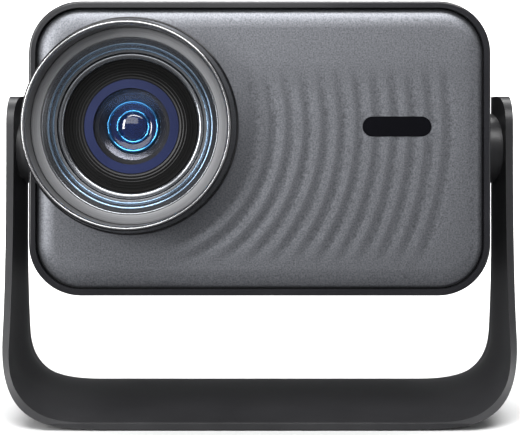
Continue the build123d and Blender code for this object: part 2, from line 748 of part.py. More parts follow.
def lens_funnel():
    """Conical ring that leads from the trim ring down to the lens tube."""
    neck = TRIM_HOLE_R - SEAT_GAP
    mouth = TRIM_FRONT + 0.3
    throat = mouth + FUNNEL_DEPTH
    back = PANEL_BACK + 3.5
    return turned([
        (neck, mouth),
        (neck, back),
        (FUNNEL_HOLE_R, back),
        (FUNNEL_HOLE_R, throat),
        (FUNNEL_HOLE_R + 1.6, throat),
        (neck - 0.5, mouth),
    ])


def lens_tube():
    """Fixed tube that guides the lens barrel, with its flange, rack slot and motor ear."""
    rim = FRONT + 3.6
    tube = turned([
        (TUBE_R, rim + 1.2), (TUBE_R - 0.5, rim + 0.3), (TUBE_R - 1.2, rim),
        (TUBE_BORE_R + 0.7, rim + 0.3), (TUBE_BORE_R, rim + 1.2),
        (TUBE_BORE_R, ENGINE_FRONT), (TUBE_R, ENGINE_FRONT),
    ])
    flange = rod(LENS_X, LENS_Z, ENGINE_FRONT - 2.0, ENGINE_FRONT, ENGINE_HALF_HEIGHT + 1.0)
    hole = rod(LENS_X, LENS_Z, ENGINE_FRONT - 3.0, ENGINE_FRONT + 1.0, TUBE_BORE_R)
    trim_top = block(
        LENS_X - 60, LENS_X + 60, ENGINE_FRONT - 3.0, ENGINE_FRONT + 1.0,
        ENGINE_TOP, ENGINE_TOP + 20,
    )
    ear_x = LENS_X + RACK_WIDTH / 2 + 3.4
    ear = block(
        ear_x, ear_x + 2.0, RACK_Y - MOTOR_R, RACK_Y + MOTOR_R,
        LENS_Z + TUBE_R - 3.0, PINION_Z + MOTOR_R - 1.0,
    )
    ear = ear - rod(LENS_X, LENS_Z, RACK_Y - 20, RACK_Y + 20, TUBE_BORE_R + 1.0)
    ear = ear - axle(ear_x - 1, ear_x + 3, RACK_Y, PINION_Z, PINION_SHAFT_R + RUN_GAP)
    slot_half = RACK_LENGTH / 2 + FOCUS_TRAVEL + 1.0
    slot = block(
        LENS_X - RACK_WIDTH / 2 - 0.5, LENS_X + RACK_WIDTH / 2 + 0.5,
        RACK_Y - slot_half, RACK_Y + slot_half, LENS_Z + 20, LENS_Z + TUBE_R + 5,
    )
    return tube + (flange - hole - trim_top) + ear - slot


def rack_tooth(centre_y, root_z):
    """One trapezoid tooth of the rack, pointing up."""
    pitch = math.pi * GEAR_MODULE
    slope = math.tan(math.radians(20))
    tip = 0.2 * pitch - 0.8 * GEAR_MODULE * slope
    foot = 0.2 * pitch + 1.25 * GEAR_MODULE * slope
    height = 2.05 * GEAR_MODULE
    plane = Plane((LENS_X - RACK_WIDTH / 2, centre_y, root_z), x_dir=(0, 1, 0), z_dir=(1, 0, 0))
    outline = Polyline((-foot, -0.2), (foot, -0.2), (foot, 0), (tip, height), (-tip, height),
                       (-foot, 0), close=True)
    return extrude(plane * make_face(outline), amount=RACK_WIDTH)


def lens_barrel():
    """Sliding barrel that holds the glass, with the focus rack on its top."""
    seat = BARREL_FRONT + 7.5
    step = BARREL_BACK - 7.0
    ring_face = BARREL_FRONT + 1.4
    barrel = turned([
        (BARREL_R, BARREL_FRONT + 0.4), (BARREL_R, BARREL_BACK),
        (REAR_GLASS_R + SEAT_GAP, BARREL_BACK), (REAR_GLASS_R + SEAT_GAP, step),
        (MIDDLE_GLASS_R + SEAT_GAP, step), (MIDDLE_GLASS_R + SEAT_GAP, seat + 5.0),
        (MIDDLE_GLASS_R - 1.2, seat + 5.0), (MIDDLE_GLASS_R - 1.2, seat),
        (FRONT_GLASS_R + SEAT_GAP, seat), (FRONT_GLASS_R + SEAT_GAP, ring_face),
        (BARREL_R - 0.7, BARREL_FRONT), (BARREL_R - 0.3, BARREL_FRONT),
    ])
    root_z = LENS_Z + PITCH_RISE - 1.25 * GEAR_MODULE
    bar = block(
        LENS_X - RACK_WIDTH / 2, LENS_X + RACK_WIDTH / 2,
        RACK_Y - RACK_LENGTH / 2, RACK_Y + RACK_LENGTH / 2, LENS_Z + BARREL_R - 2.5, root_z,
    )
    bar = bar - rod(LENS_X, LENS_Z, BARREL_FRONT, BARREL_BACK, FRONT_GLASS_R + 4.0)
    pitch = math.pi * GEAR_MODULE
    teeth = int((RACK_LENGTH / 2 - 0.6) / pitch)
    whole = barrel + bar
    for index in range(-teeth, teeth + 1):
        whole = whole + rack_tooth(RACK_Y + index * pitch, root_z)
    return whole


def lens_front():
    """Front element of the projection lens."""
    return glass(FRONT_GLASS_R, BARREL_FRONT + 3.6, BARREL_FRONT + 7.4, 2.0, -1.6)


def lens_middle():
    """Middle element of the projection lens."""
    front = BARREL_FRONT + 7.5 + 5.1
    return glass(MIDDLE_GLASS_R, front + 1.6, front + 6.6, -1.2, 1.6)


def lens_rear():
    """Rear element of the projection lens."""
    return glass(REAR_GLASS_R, BARREL_BACK - 6.9, BARREL_BACK - 3.0, -1.4, 2.2)


def lens_retainer():
    """Flat ring that holds the front element in the barrel."""
    front = BARREL_FRONT + 1.6
    hole = FRONT_GLASS_R - RETAINER_WIDTH
    return turned([
        (FRONT_GLASS_R, front), (FRONT_GLASS_R, front + 1.1),
        (hole, front + 0.9), (hole, front),
    ])


def focus_pinion():
    """Small gear and its shaft, in mesh with the barrel's rack."""
    pitch = math.pi * GEAR_MODULE
    slope = math.tan(math.radians(20))
    tip = 0.2 * pitch - 0.8 * GEAR_MODULE * slope
    root = PINION_R - 1.25 * GEAR_MODULE
    foot = 0.2 * pitch + 1.25 * GEAR_MODULE * slope
    x0 = LENS_X - RACK_WIDTH / 2
    gear = axle(x0, x0 + RACK_WIDTH, RACK_Y, PINION_Z, root)
    plane = Plane((x0, RACK_Y, PINION_Z), x_dir=(0, 1, 0), z_dir=(1, 0, 0))
    for index in range(PINION_TEETH):
        turn = (index + 0.5) * 360 / PINION_TEETH - 90
        outline = Polyline(
            (root - 0.3, -foot), (root, -foot), (PINION_R + 0.8 * GEAR_MODULE, -tip),
            (PINION_R + 0.8 * GEAR_MODULE, tip), (root, foot), (root - 0.3, foot), close=True,
        )
        tooth = plane * Rot(0, 0, turn) * make_face(outline)
        gear = gear + extrude(tooth, amount=RACK_WIDTH)
    shaft_end = LENS_X + RACK_WIDTH / 2 + 3.4 + 2.0 + 8.0
    return gear + axle(x0 - 1.0, shaft_end, RACK_Y, PINION_Z, PINION_SHAFT_R)


def focus_motor():
    """Geared motor beside the lens tube that drives the focus pinion."""
    x0 = LENS_X + RACK_WIDTH / 2 + 3.4 + 2.0 + SEAT_GAP
    body = axle(x0, x0 + MOTOR_LENGTH, RACK_Y, PINION_Z, MOTOR_R)
    bore = axle(x0 - 1, x0 + 8.5, RACK_Y, PINION_Z, PINION_SHAFT_R + RUN_GAP)
    return body - bore


# ---- head: light engine ----
def engine_base():
    """Open-topped box that carries the mirror, the panel and the condenser."""
    outer = block(ENGINE_LEFT, ENGINE_RIGHT, ENGINE_FRONT, ENGINE_REAR,
                  ENGINE_BOTTOM, ENGINE_TOP - ENGINE_WALL)
    inner = block(
        ENGINE_LEFT + ENGINE_WALL, ENGINE_RIGHT - ENGINE_WALL,
        ENGINE_FRONT + ENGINE_WALL, ENGINE_REAR - ENGINE_WALL,
        ENGINE_BOTTOM + ENGINE_WALL, ENGINE_TOP,
    )
    lens_hole = rod(LENS_X, LENS_Z, ENGINE_FRONT - 1, ENGINE_FRONT + 5, ENGINE_HALF_HEIGHT - 5)
    led_hole = axle(ENGINE_RIGHT - 5, ENGINE_RIGHT + 1, PATH_Y, LENS_Z, CONDENSER_R - 3)
    return outer - inner - lens_hole - led_hole


def engine_cover():
    """Lid of the light engine."""
    return block(ENGINE_LEFT, ENGINE_RIGHT, ENGINE_FRONT, ENGINE_REAR,
                 ENGINE_TOP - ENGINE_WALL, ENGINE_TOP)


def upright(x, thick, width, height):
    """Flat plate across the light path, standing on the engine's floor."""
    low = ENGINE_BOTTOM + ENGINE_WALL
    return block(x, x + thick, PATH_Y - width / 2, PATH_Y + width / 2, low, low + height)


def fold_mirror():
    """Mirror at 45 degrees that turns the light from the panel to the lens."""
    low = ENGINE_BOTTOM + ENGINE_WALL
    plane = Plane((LENS_X, PATH_Y, low), x_dir=(1, 1, 0), z_dir=(0, 0, 1))
    outline = Pos(0, 1.2) * Rectangle(MIRROR_LENGTH, 2.4)
    return extrude(plane * outline, amount=LCD_HEIGHT + 6)


def lcd_panel():
    """Image panel."""
    return upright(LCD_X, 2.2, LCD_WIDTH, LCD_HEIGHT + 8)


def fresnel_lenses():
    """Thin plate lenses before and after the image panel."""
    offsets = (-10.0, 9.0)
    return group([upright(LCD_X + offset, 2.0, LCD_WIDTH, LCD_HEIGHT + 8) for offset in offsets])


def polariser():
    """Polarising and heat-stopping glass ahead of the image panel."""
    return upright(LCD_X + 5.0, 1.1, LCD_WIDTH, LCD_HEIGHT + 8)


def condenser_lens():
    """Thick plano-convex glass that gathers the lamp's light."""
    flat = ENGINE_RIGHT - ENGINE_WALL - SEAT_GAP
    sag = 9.0
    ball = ball_radius(CONDENSER_R, sag)
    body = axle(flat - 3.0 - sag, flat, PATH_Y, LENS_Z, CONDENSER_R)
    return body & Pos(flat - 3.0 - sag + ball, PATH_Y, LENS_Z) * Sphere(ball)


def led_module():
    """Lamp board with its light-emitting patch."""
    board = block(LED_X, LED_X + 2.0, PATH_Y - 20, PATH_Y + 20, LENS_Z - 20, LENS_Z + 20)
    patch = block(LED_X - 1.5, LED_X, PATH_Y - 6, PATH_Y + 6, LENS_Z - 6, LENS_Z + 6)
    return board + patch


def sink_middle_y():
    """Y of the middle of the heat sink."""
    return FAN_FRONT - 3.0 - SINK_DEPTH / 2


def heat_sink():
    """Base plate with a stack of fins that the exhaust fan draws air through."""
    y0 = FAN_FRONT - 3.0 - SINK_DEPTH
    y1 = FAN_FRONT - 3.0
    height = FAN_SIZE - 2.0
    low = LENS_Z - height / 2
    sink = block(SINK_X, SINK_X + 4.0, y0, y1, low, low + height)
    for index in range(FIN_COUNT):
        z = low + index * (height - FIN_THICK) / (FIN_COUNT - 1)
        sink = sink + block(SINK_X + 3.5, SINK_X + SINK_LENGTH, y0, y1, z, z + FIN_THICK)
    for y, z in PIPE_PLACES:
        sink = sink - axle(
            SINK_X + 1.0, SINK_X + SINK_LENGTH + 1, sink_middle_y() + y, LENS_Z + z,
            PIPE_R + SCREW_GAP,
        )
    return sink


def heat_pipes():
    """Copper pipes from the base plate through the fins."""
    return group([
        axle(SINK_X + 1.1, SINK_X + SINK_LENGTH - 1, sink_middle_y() + y, LENS_Z + z, PIPE_R)
        for y, z in PIPE_PLACES
    ])


def exhaust_fan_frame():
    """Square frame of the exhaust fan, its struts and the rotor's axle."""
    frame = slab(RectangleRounded(FAN_SIZE, FAN_SIZE, 3), FAN_X, FAN_FRONT,
                 FAN_FRONT + FAN_DEPTH, LENS_Z)
    frame = frame - rod(FAN_X, LENS_Z, FAN_FRONT - 1, FAN_FRONT + FAN_DEPTH + 1, FAN_SIZE / 2 - 1.5)
    back = FAN_FRONT + FAN_DEPTH
    spider = rod(FAN_X, LENS_Z, back - 2.0, back, FAN_HUB_R)
    for turn in (0, 60, 120):
        strut = slab(Rectangle(FAN_SIZE - 1.0, 3.0).rotate(Axis.Z, turn), FAN_X,
                     back - 2.0, back, LENS_Z)
        spider = spider + strut
    return frame + spider + rod(FAN_X, LENS_Z, FAN_FRONT + 3.0, back - 1.0, AXLE_R)


def exhaust_fan_rotor():
    """Hub and blades of the exhaust fan."""
    front = FAN_FRONT + 1.0
    back = FAN_FRONT + FAN_DEPTH - 2.6
    rotor = rod(FAN_X, LENS_Z, front, back, FAN_HUB_R)
    tip = FAN_SIZE / 2 - 3.0
    for index in range(FAN_BLADES):
        turn = index * 360 / FAN_BLADES
        blade = Location((FAN_X, (front + back) / 2, LENS_Z)) * Rot(0, turn, 0) * Pos(
            (FAN_HUB_R + tip) / 2 - 0.5, 0, 0
        ) * Rot(38, 0, 0) * Box(tip - FAN_HUB_R + 1.0, 1.2, 12.0)
        rotor = rotor + (blade & rod(FAN_X, LENS_Z, front, back, tip))
    return rotor - rod(FAN_X, LENS_Z, front + 1.6, back + 1, AXLE_R + RUN_GAP)


def blower_case():
    """Flat square case of the cooling blower, with its inlet, outlet and axle."""
    back = BLOWER_FRONT + BLOWER_DEPTH
    half = BLOWER_SIZE / 2
    case = slab(RectangleRounded(BLOWER_SIZE, BLOWER_SIZE, 6), BLOWER_X, BLOWER_FRONT, back, LENS_Z)
    case = case - rod(BLOWER_X, LENS_Z, BLOWER_FRONT + BLOWER_WALL, back - BLOWER_WALL, half - 3.0)
    case = case - block(
        BLOWER_X - half + 3.0, BLOWER_X, BLOWER_FRONT + BLOWER_WALL, back - BLOWER_WALL,
        LENS_Z - half - 1, LENS_Z,
    )
    case = case - rod(BLOWER_X, LENS_Z, BLOWER_FRONT - 1, BLOWER_FRONT + 3, half - 9.0)
    return case + rod(BLOWER_X, LENS_Z, BLOWER_FRONT + 3.8, back - 1.0, AXLE_R)


def blower_rotor():
    """Drum rotor of the blower: hub, back disc and upright vanes."""
    front = BLOWER_FRONT + BLOWER_WALL + 0.6
    back = BLOWER_FRONT + BLOWER_DEPTH - BLOWER_WALL - 0.6
    half = BLOWER_SIZE / 2
    rotor = rod(BLOWER_X, LENS_Z, back - 1.2, back, half - 6.0)
    rotor = rotor + rod(BLOWER_X, LENS_Z, front, back, 8.0)
    for index in range(18):
        vane = Location((BLOWER_X, (front + back) / 2, LENS_Z)) * Rot(0, index * 20, 0) * Pos(
            half - 8.5, 0, 0
        ) * Rot(0, 25, 0) * Box(3.6, back - front, 0.8)
        rotor = rotor + vane
    return rotor - rod(BLOWER_X, LENS_Z, front + 1.0, back + 1, AXLE_R + RUN_GAP)


# ---- head: boards, sound and controls ----


def engine_post_places():
    """X and Y of the four posts under the light engine."""
    xs = (ENGINE_LEFT + 8.5, ENGINE_RIGHT - 6.0)
    ys = (ENGINE_FRONT + 11.0, ENGINE_REAR - 8.0)
    return [(x, y) for x in xs for y in ys]


def chassis_tray():
    """Sheet tray on the head's floor, with posts for the engine and the two boards."""
    tray = block(-TRAY_HALF, TRAY_HALF, TRAY_FRONT, TRAY_REAR, HEAD_FLOOR + SEAT_GAP, TRAY_TOP)
    corners = slab(sleeve_outline(SLEEVE_WALL + SEAT_GAP), 0, FRONT, REAR, TILT_HEIGHT)
    tray = tray & corners
    for x, y in engine_post_places():
        tray = tray + post(x, y, TRAY_TOP - 0.5, ENGINE_BOTTOM, ENGINE_POST_R)
    for x in (BOARD_LEFT + 5.0, BOARD_RIGHT - 5.0):
        tray = tray + post(x, BOARD_FRONT + 5.0, TRAY_TOP - 0.5, MAIN_BOARD_Z, 2.5)
    for x in (SUPPLY_LEFT + 4.0, SUPPLY_RIGHT - 4.0):
        for y in (BOARD_FRONT + 4.0, BOARD_REAR - 14.0):
            tray = tray + post(x, y, TRAY_TOP - 0.5, SUPPLY_Z, 2.5)
    return tray


def main_board():
    """Main circuit board, cut away around the engine's posts."""
    board = block(BOARD_LEFT, BOARD_RIGHT, BOARD_FRONT, BOARD_REAR,
                  MAIN_BOARD_Z, MAIN_BOARD_Z + BOARD_THICK)
    for x, y in engine_post_places():
        board = board - post(x, y, MAIN_BOARD_Z - 1, MAIN_BOARD_Z + 5, ENGINE_POST_R + 1.0)
    return board


def board_shield():
    """Metal can over the main board's processor."""
    low = MAIN_BOARD_Z + BOARD_THICK
    can = block(BOARD_LEFT + 18, BOARD_LEFT + 66, -4, 30, low, low + 7.0)
    return can - block(BOARD_LEFT + 18.6, BOARD_LEFT + 65.4, -3.4, 29.4, low - 1, low + 6.4)


def ports():
    """Metal shells of the sockets on the main board."""
    shells = []
    back = COVER_BACK - 0.4
    for x, width, height in zip(PORT_X, PORT_WIDTH, PORT_HEIGHT):
        z = MAIN_BOARD_Z + BOARD_THICK + height / 2
        shell = slab(Rectangle(width, height), x, back - PORT_DEPTH, back, z)
        if width > height:
            hollow = Rectangle(width - 2 * PORT_WALL, height - 2 * PORT_WALL)
            tongue = slab(Rectangle(width - 4.0, 1.4), x, back - PORT_DEPTH + 1, back - 2.0, z)
            cut = slab(hollow, x, back - PORT_DEPTH + 2.0, back + 1, z)
            shell = shell - (cut - tongue)
        else:
            shell = shell - rod(x, z, back - PORT_DEPTH + 2.0, back + 1, 1.8)
        shells.append(shell)
    return group(shells)


def power_board():
    """Circuit board of the mains power supply."""
    return block(SUPPLY_LEFT, SUPPLY_RIGHT, BOARD_FRONT, BOARD_REAR - 10.0,
                 SUPPLY_Z, SUPPLY_Z + BOARD_THICK)


def power_parts():
    """Transformer, capacitors and choke on the power supply's board."""
    low = SUPPLY_Z + BOARD_THICK
    middle = (SUPPLY_LEFT + SUPPLY_RIGHT) / 2
    transformer = block(middle - 13, middle + 13, -8, 12, low, low + 20.0)
    capacitors = [post(middle + x, 25, low, low + 22.0, 7.0) for x in (-9.0, 9.0)]
    choke = block(SUPPLY_LEFT + 3, SUPPLY_LEFT + 15, 34, 42, low, low + 14.0)
    return group([transformer, choke] + capacitors)


def ac_inlet():
    """Two-pole mains inlet let into the rear cover."""
    body = slab(RectangleRounded(INLET_WIDTH, INLET_HEIGHT, 2), INLET_X,
                COVER_BACK - SOCKET_DEPTH - 3.5, COVER_BACK, INLET_Z)
    socket = slab(SlotOverall(SOCKET_WIDTH, SOCKET_HEIGHT), INLET_X,
                  COVER_BACK - SOCKET_DEPTH, COVER_BACK + 1, INLET_Z)
    body = body - socket
    for side in SIDES:
        body = body - rod(INLET_X + side * PIN_SPACING / 2, INLET_Z,
                          COVER_BACK - SOCKET_DEPTH - 4, COVER_BACK, PIN_R + SCREW_GAP)
    return body


def inlet_pins():
    """Contact pins of the mains inlet."""
    return group([
        rod(INLET_X + side * PIN_SPACING / 2, INLET_Z, COVER_BACK - SOCKET_DEPTH - 5.0,
            COVER_BACK - 3.0, PIN_R)
        for side in SIDES
    ])


def power_button():
    """Round push button in the rear cover, with a collar that keeps it in."""
    cap = rod(0, BUTTON_Z, COVER_FRONT - 1.0, COVER_BACK + BUTTON_PROUD, BUTTON_R)
    collar = rod(0, BUTTON_Z, COVER_FRONT - 1.6, COVER_FRONT - 0.4, BUTTON_R + 1.2)
    return cap + collar + rod(0, BUTTON_Z, COVER_FRONT - 3.0, COVER_FRONT - 1.5, BUTTON_STEM_R)


def button_board():
    """Small board with the switch that the power button presses."""
    y1 = COVER_FRONT - 3.0 - BUTTON_TRAVEL - BODY_GAP
    switch = block(-3.0, 3.0, y1 - 2.0, y1, BUTTON_Z - 3.0, BUTTON_Z + 3.0)
    board = block(-14.0, 14.0, y1 - 3.6, y1 - 2.0, BUTTON_Z - 7.0, BUTTON_Z + 7.0)
    return board + switch


def sensor_board():
    """Small board behind the sensor window, with the camera and the distance sensor."""
    z = TILT_HEIGHT + WINDOW_RISE
    front = PANEL_BACK + 3.6
    board = slab(RectangleRounded(WINDOW_LENGTH + 8, 16, 2), WINDOW_X, front, front + 1.2, z)
    return board + sensor_module(-7.5, 2.7, z, front) + sensor_module(7.5, 2.4, z, front)


def sensor_module(offset, radius, z, front):
    """One round optical module that looks out through the window."""
    return rod(WINDOW_X + offset, z, PANEL_FRONT + WINDOW_THICK + 0.2, front + 0.5, radius)


def speaker_grille(side):
    """Slotted plate, flush in a side wall, over a speaker."""
    plate = extrude(grille_plane(side, INNER_HALF_WIDTH + 0.1) * grille_outline(0),
                    amount=SLEEVE_WALL - 0.1)
    for index in range(7):
        offset = (index - 3) * 5.0
        slot = grille_plane(side, INNER_HALF_WIDTH - 1) * Pos(offset, 0) * Rot(0, 0, 90) * (
            SlotOverall(GRILLE_HEIGHT - 8.0, 2.4)
        )
        plate = plate - extrude(slot, amount=SLEEVE_WALL + 2)
    return plate


def speaker(side):
    """Frame and magnet of a small loudspeaker."""
    rim = INNER_HALF_WIDTH - SPEAKER_INSET
    back = rim - SPEAKER_DEPTH
    frame = axle(side * (rim - 8.0), side * rim, SPEAKER_Y, SPEAKER_Z, SPEAKER_R)
    magnet = axle(side * back, side * (rim - 7.5), SPEAKER_Y, SPEAKER_Z, SPEAKER_R - 5.0)
    basket = axle(side * (rim - 7.0), side * (rim + 1), SPEAKER_Y, SPEAKER_Z, SPEAKER_R - 2.4)
    gap = axle(side * (rim - 13.0), side * rim, SPEAKER_Y, SPEAKER_Z, 6.4)
    core = axle(side * back, side * (rim - 8.0), SPEAKER_Y, SPEAKER_Z, 4.8)
    return frame + magnet - basket - gap + core


def speaker_cone(side):
    """Cone and voice coil of a loudspeaker."""
    rim = INNER_HALF_WIDTH - SPEAKER_INSET
    cone = axle(side * (rim - 4.2), side * (rim - 3.0), SPEAKER_Y, SPEAKER_Z, SPEAKER_R - 2.9)
    coil = axle(side * (rim - 11.5), side * (rim - 3.6), SPEAKER_Y, SPEAKER_Z, 6.0)
    bore = axle(side * (rim - 12.5), side * (rim - 4.2), SPEAKER_Y, SPEAKER_Z, 5.2)
    return cone + coil - bore


def dust_filter():
    """Framed filter over the air intake in the head's floor."""
    half = INTAKE_COUNT * INTAKE_PITCH / 2 + 2.0
    low = HEAD_FLOOR + SEAT_GAP
    frame = block(-half, half, INTAKE_Y - 17.0, INTAKE_Y + 17.0, low, low + 4.0)
    return frame - block(-half + 2, half - 2, INTAKE_Y - 15.0, INTAKE_Y + 15.0, low + 1.5, low + 5)


def build_nodes():
    """Every node of the assembly by name."""
    return {
        "stand_band": stand_band(),
        "foot_pad": foot_pad(),
        "tripod_insert": tripod_insert(),
        "hinge_shafts": both_sides(hinge_shaft),
        "arm_caps": both_sides(arm_cap),
        "arm_screws": both_sides(arm_screws),
        "stop_pins": both_sides(stop_pin),
        "friction_washers": both_sides(friction_washer),
        "hinge_nuts": both_sides(hinge_nut),
        "housing_shell": housing_shell(),
        "front_panel": front_panel(),
        "rear_cover": rear_cover(),
        "case_screws": case_screws(),
        "hub_left": hub(-1),
        "hub_right": hub(1),
        "hinge_brackets": both_sides(hinge_bracket),
        "lens_bezel": lens_bezel(),
        "lens_trim_ring": lens_trim_ring(),
        "lens_funnel": lens_funnel(),
        "lens_tube": lens_tube(),
        "lens_barrel": lens_barrel(),
        "lens_front": lens_front(),
        "lens_middle": lens_middle(),
        "lens_rear": lens_rear(),
        "lens_retainer": lens_retainer(),
        "focus_motor": focus_motor(),
        "focus_pinion": focus_pinion(),
        "sensor_window": sensor_window(),
        "sensor_board": sensor_board(),
        "engine_base": engine_base(),
        "engine_cover": engine_cover(),
        "fold_mirror": fold_mirror(),
        "lcd_panel": lcd_panel(),
        "fresnel_lenses": fresnel_lenses(),
        "polariser": polariser(),
        "condenser_lens": condenser_lens(),
        "led_module": led_module(),
        "heat_sink": heat_sink(),
        "heat_pipes": heat_pipes(),
        "exhaust_fan_frame": exhaust_fan_frame(),
        "exhaust_fan_rotor": exhaust_fan_rotor(),
        "blower_case": blower_case(),
        "blower_rotor": blower_rotor(),
        "dust_filter": dust_filter(),
        "chassis_tray": chassis_tray(),
        "main_board": main_board(),
        "board_shield": board_shield(),
        "ports": ports(),
        "power_board": power_board(),
        "power_parts": power_parts(),
        "ac_inlet": ac_inlet(),
        "inlet_pins": inlet_pins(),
        "power_button": power_button(),
        "button_board": button_board(),
        "speaker_grilles": both_sides(speaker_grille),
        "speakers": both_sides(speaker),
        "speaker_cone_left": speaker_cone(-1),
        "speaker_cone_right": speaker_cone(1),
    }


def main():
    """Build every node and write it out."""
    os.makedirs("parts", exist_ok=True)
    for name, shape in build_nodes().items():
        export_step(shape, os.path.join("parts", name + ".step"))


main()
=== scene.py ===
"""Looks of a home projector: a box-shaped head with a deep lens hood on a tilting U stand."""

import logging
import math
from dataclasses import dataclass, field, replace
from enum import Enum
from typing import Callable, Iterable, Sequence

import bpy
from bpy.types import Material, Mesh, NodeSocket, Object
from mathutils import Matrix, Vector

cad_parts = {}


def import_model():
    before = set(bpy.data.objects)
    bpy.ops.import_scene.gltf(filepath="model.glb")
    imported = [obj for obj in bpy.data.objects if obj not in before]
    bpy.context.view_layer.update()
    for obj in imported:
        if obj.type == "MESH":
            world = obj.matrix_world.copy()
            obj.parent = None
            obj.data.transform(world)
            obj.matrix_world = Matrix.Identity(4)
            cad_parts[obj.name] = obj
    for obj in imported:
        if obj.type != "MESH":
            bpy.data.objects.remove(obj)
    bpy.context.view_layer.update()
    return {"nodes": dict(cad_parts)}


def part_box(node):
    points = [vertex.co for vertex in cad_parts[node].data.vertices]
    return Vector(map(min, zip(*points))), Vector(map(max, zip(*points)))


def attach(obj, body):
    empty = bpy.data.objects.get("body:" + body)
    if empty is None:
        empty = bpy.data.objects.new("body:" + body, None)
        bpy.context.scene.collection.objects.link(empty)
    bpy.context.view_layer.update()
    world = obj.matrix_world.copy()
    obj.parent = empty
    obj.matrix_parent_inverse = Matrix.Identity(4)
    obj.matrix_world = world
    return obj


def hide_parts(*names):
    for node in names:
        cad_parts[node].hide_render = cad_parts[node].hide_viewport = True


LOG = logging.getLogger("projector")
MM = 0.001
TOUCH = 0.01 * MM
COAT_ROUGHNESS = 0.08
CLOUD_SCALE = 0.05
Colour = tuple[float, float, float]
Outline = list[tuple[float, float]]


class Body(Enum):
    """Bodies that the new pieces ride on."""

    STAND = "stand"
    HEAD = "head"
    BARREL = "focus_barrel"


class Grain(Enum):
    """Ways that a surface's fine relief can run."""

    EVEN = (1.0, 1.0, 1.0)
    ALONG_X = (0.04, 1.0, 1.0)
    ALONG_Y = (1.0, 0.04, 1.0)
    ALONG_Z = (1.0, 1.0, 0.04)


# ---------------------------------------------------------------- materials


class Canvas:
    """A material's node tree, with short calls to add and join nodes."""

    def __init__(self, name: str) -> None:
        """Starts a material with its shader and output.

        Args:
            name: Name of the new material.
        """
        self.material: Material = bpy.data.materials.new(name)
        self.material.use_nodes = True
        self.tree = self.material.node_tree
        self.shader = self.tree.nodes["Principled BSDF"]
        coordinates = self.tree.nodes.new("ShaderNodeTexCoord")
        self.place: NodeSocket = coordinates.outputs["Object"]

    def set(self, **values: float | Sequence[float]) -> None:
        """Sets the shader's own sockets.

        Args:
            **values: Socket names in lower case with underscores, and their values.
        """
        for key, value in values.items():
            words = key.replace("_", " ")
            socket = next(s for s in self.shader.inputs if s.name.lower() == words)
            socket.default_value = value

    def node(self, kind: str, inputs: dict[str | int, object] | None = None, **fields: object):
        """Adds a node.

        Args:
            kind: Blender's type name of the node.
            inputs: Values or sockets for its inputs.
            **fields: Properties of the node itself.

        Returns:
            The new node.
        """
        made = self.tree.nodes.new(kind)
        for key, value in fields.items():
            setattr(made, key, value)
        for key, value in (inputs or {}).items():
            if isinstance(value, NodeSocket):
                self.tree.links.new(value, made.inputs[key])
            else:
                made.inputs[key].default_value = value
        return made

    def feed(self, name: str, source: NodeSocket) -> None:
        """Joins a socket to one of the shader's inputs."""
        self.tree.links.new(source, self.shader.inputs[name])

    def scaled(self, factors: Sequence[float]) -> NodeSocket:
        """Object coordinates in millimetres, stretched along the axes.

        Args:
            factors: One factor for each axis.

        Returns:
            The stretched coordinates.
        """
        per_mm = tuple(factor / MM for factor in factors)
        mapping = self.node("ShaderNodeMapping", {"Vector": self.place, "Scale": per_mm})
        return mapping.outputs["Vector"]

    def noise(self, where: NodeSocket, scale: float, detail: float = 2.0) -> NodeSocket:
        """Cloudy grey pattern with so many spots to a unit of where."""
        made = self.node("ShaderNodeTexNoise", {"Vector": where, "Scale": scale, "Detail": detail})
        return made.outputs["Fac"]

    def between(self, source: NodeSocket, low: float, high: float, span: tuple[float, float] = (0.3, 0.7)):
        """Spreads a grey pattern between two values.

        Args:
            source: Pattern from 0 to 1.
            low: Value at the start of span.
            high: Value at the end of span.
            span: Part of the pattern that is spread.

        Returns:
            Socket with the spread values.
        """
        made = self.node(
            "ShaderNodeMapRange",
            {"Value": source, "From Min": span[0], "From Max": span[1], "To Min": low, "To Max": high},
        )
        return made.outputs["Result"]

    def tint(self, source: NodeSocket, dark: Colour, light: Colour, span: tuple[float, float] = (0.3, 0.7)):
        """Colour that runs from dark to light over a grey pattern."""
        ramp = self.node("ShaderNodeValToRGB", {"Fac": source})
        ends = ramp.color_ramp.elements
        ends[0].position, ends[1].position = span
        ends[0].color, ends[1].color = (*dark, 1.0), (*light, 1.0)
        return ramp.outputs["Color"]

    def relief(self, height: NodeSocket, depth_mm: float, under: NodeSocket | None = None) -> NodeSocket:
        """Bump whose full height is depth_mm, laid over another normal if one is given."""
        inputs: dict[str | int, object] = {"Height": height, "Strength": 1.0, "Distance": depth_mm * MM}
        if under is not None:
            inputs["Normal"] = under
        return self.node("ShaderNodeBump", inputs).outputs["Normal"]

    def radius_about(self, centre: Vector) -> NodeSocket:
        """Distance in millimetres from a line along Y.

        Args:
            centre: A point on the line.

        Returns:
            The distance.
        """
        moved = self.node(
            "ShaderNodeVectorMath", {0: self.place, 1: (centre.x, 0.0, centre.z)}, operation="SUBTRACT"
        )
        flat = self.node(
            "ShaderNodeVectorMath", {0: moved.outputs[0], 1: (1 / MM, 0.0, 1 / MM)}, operation="MULTIPLY"
        )
        return self.node("ShaderNodeVectorMath", {0: flat.outputs[0]}, operation="LENGTH").outputs["Value"]


def mixed(colour: Colour, factor: float) -> Colour:
    """A colour made lighter or darker by a factor."""
    red, green, blue = (min(1.0, part * factor) for part in colour)
    return red, green, blue


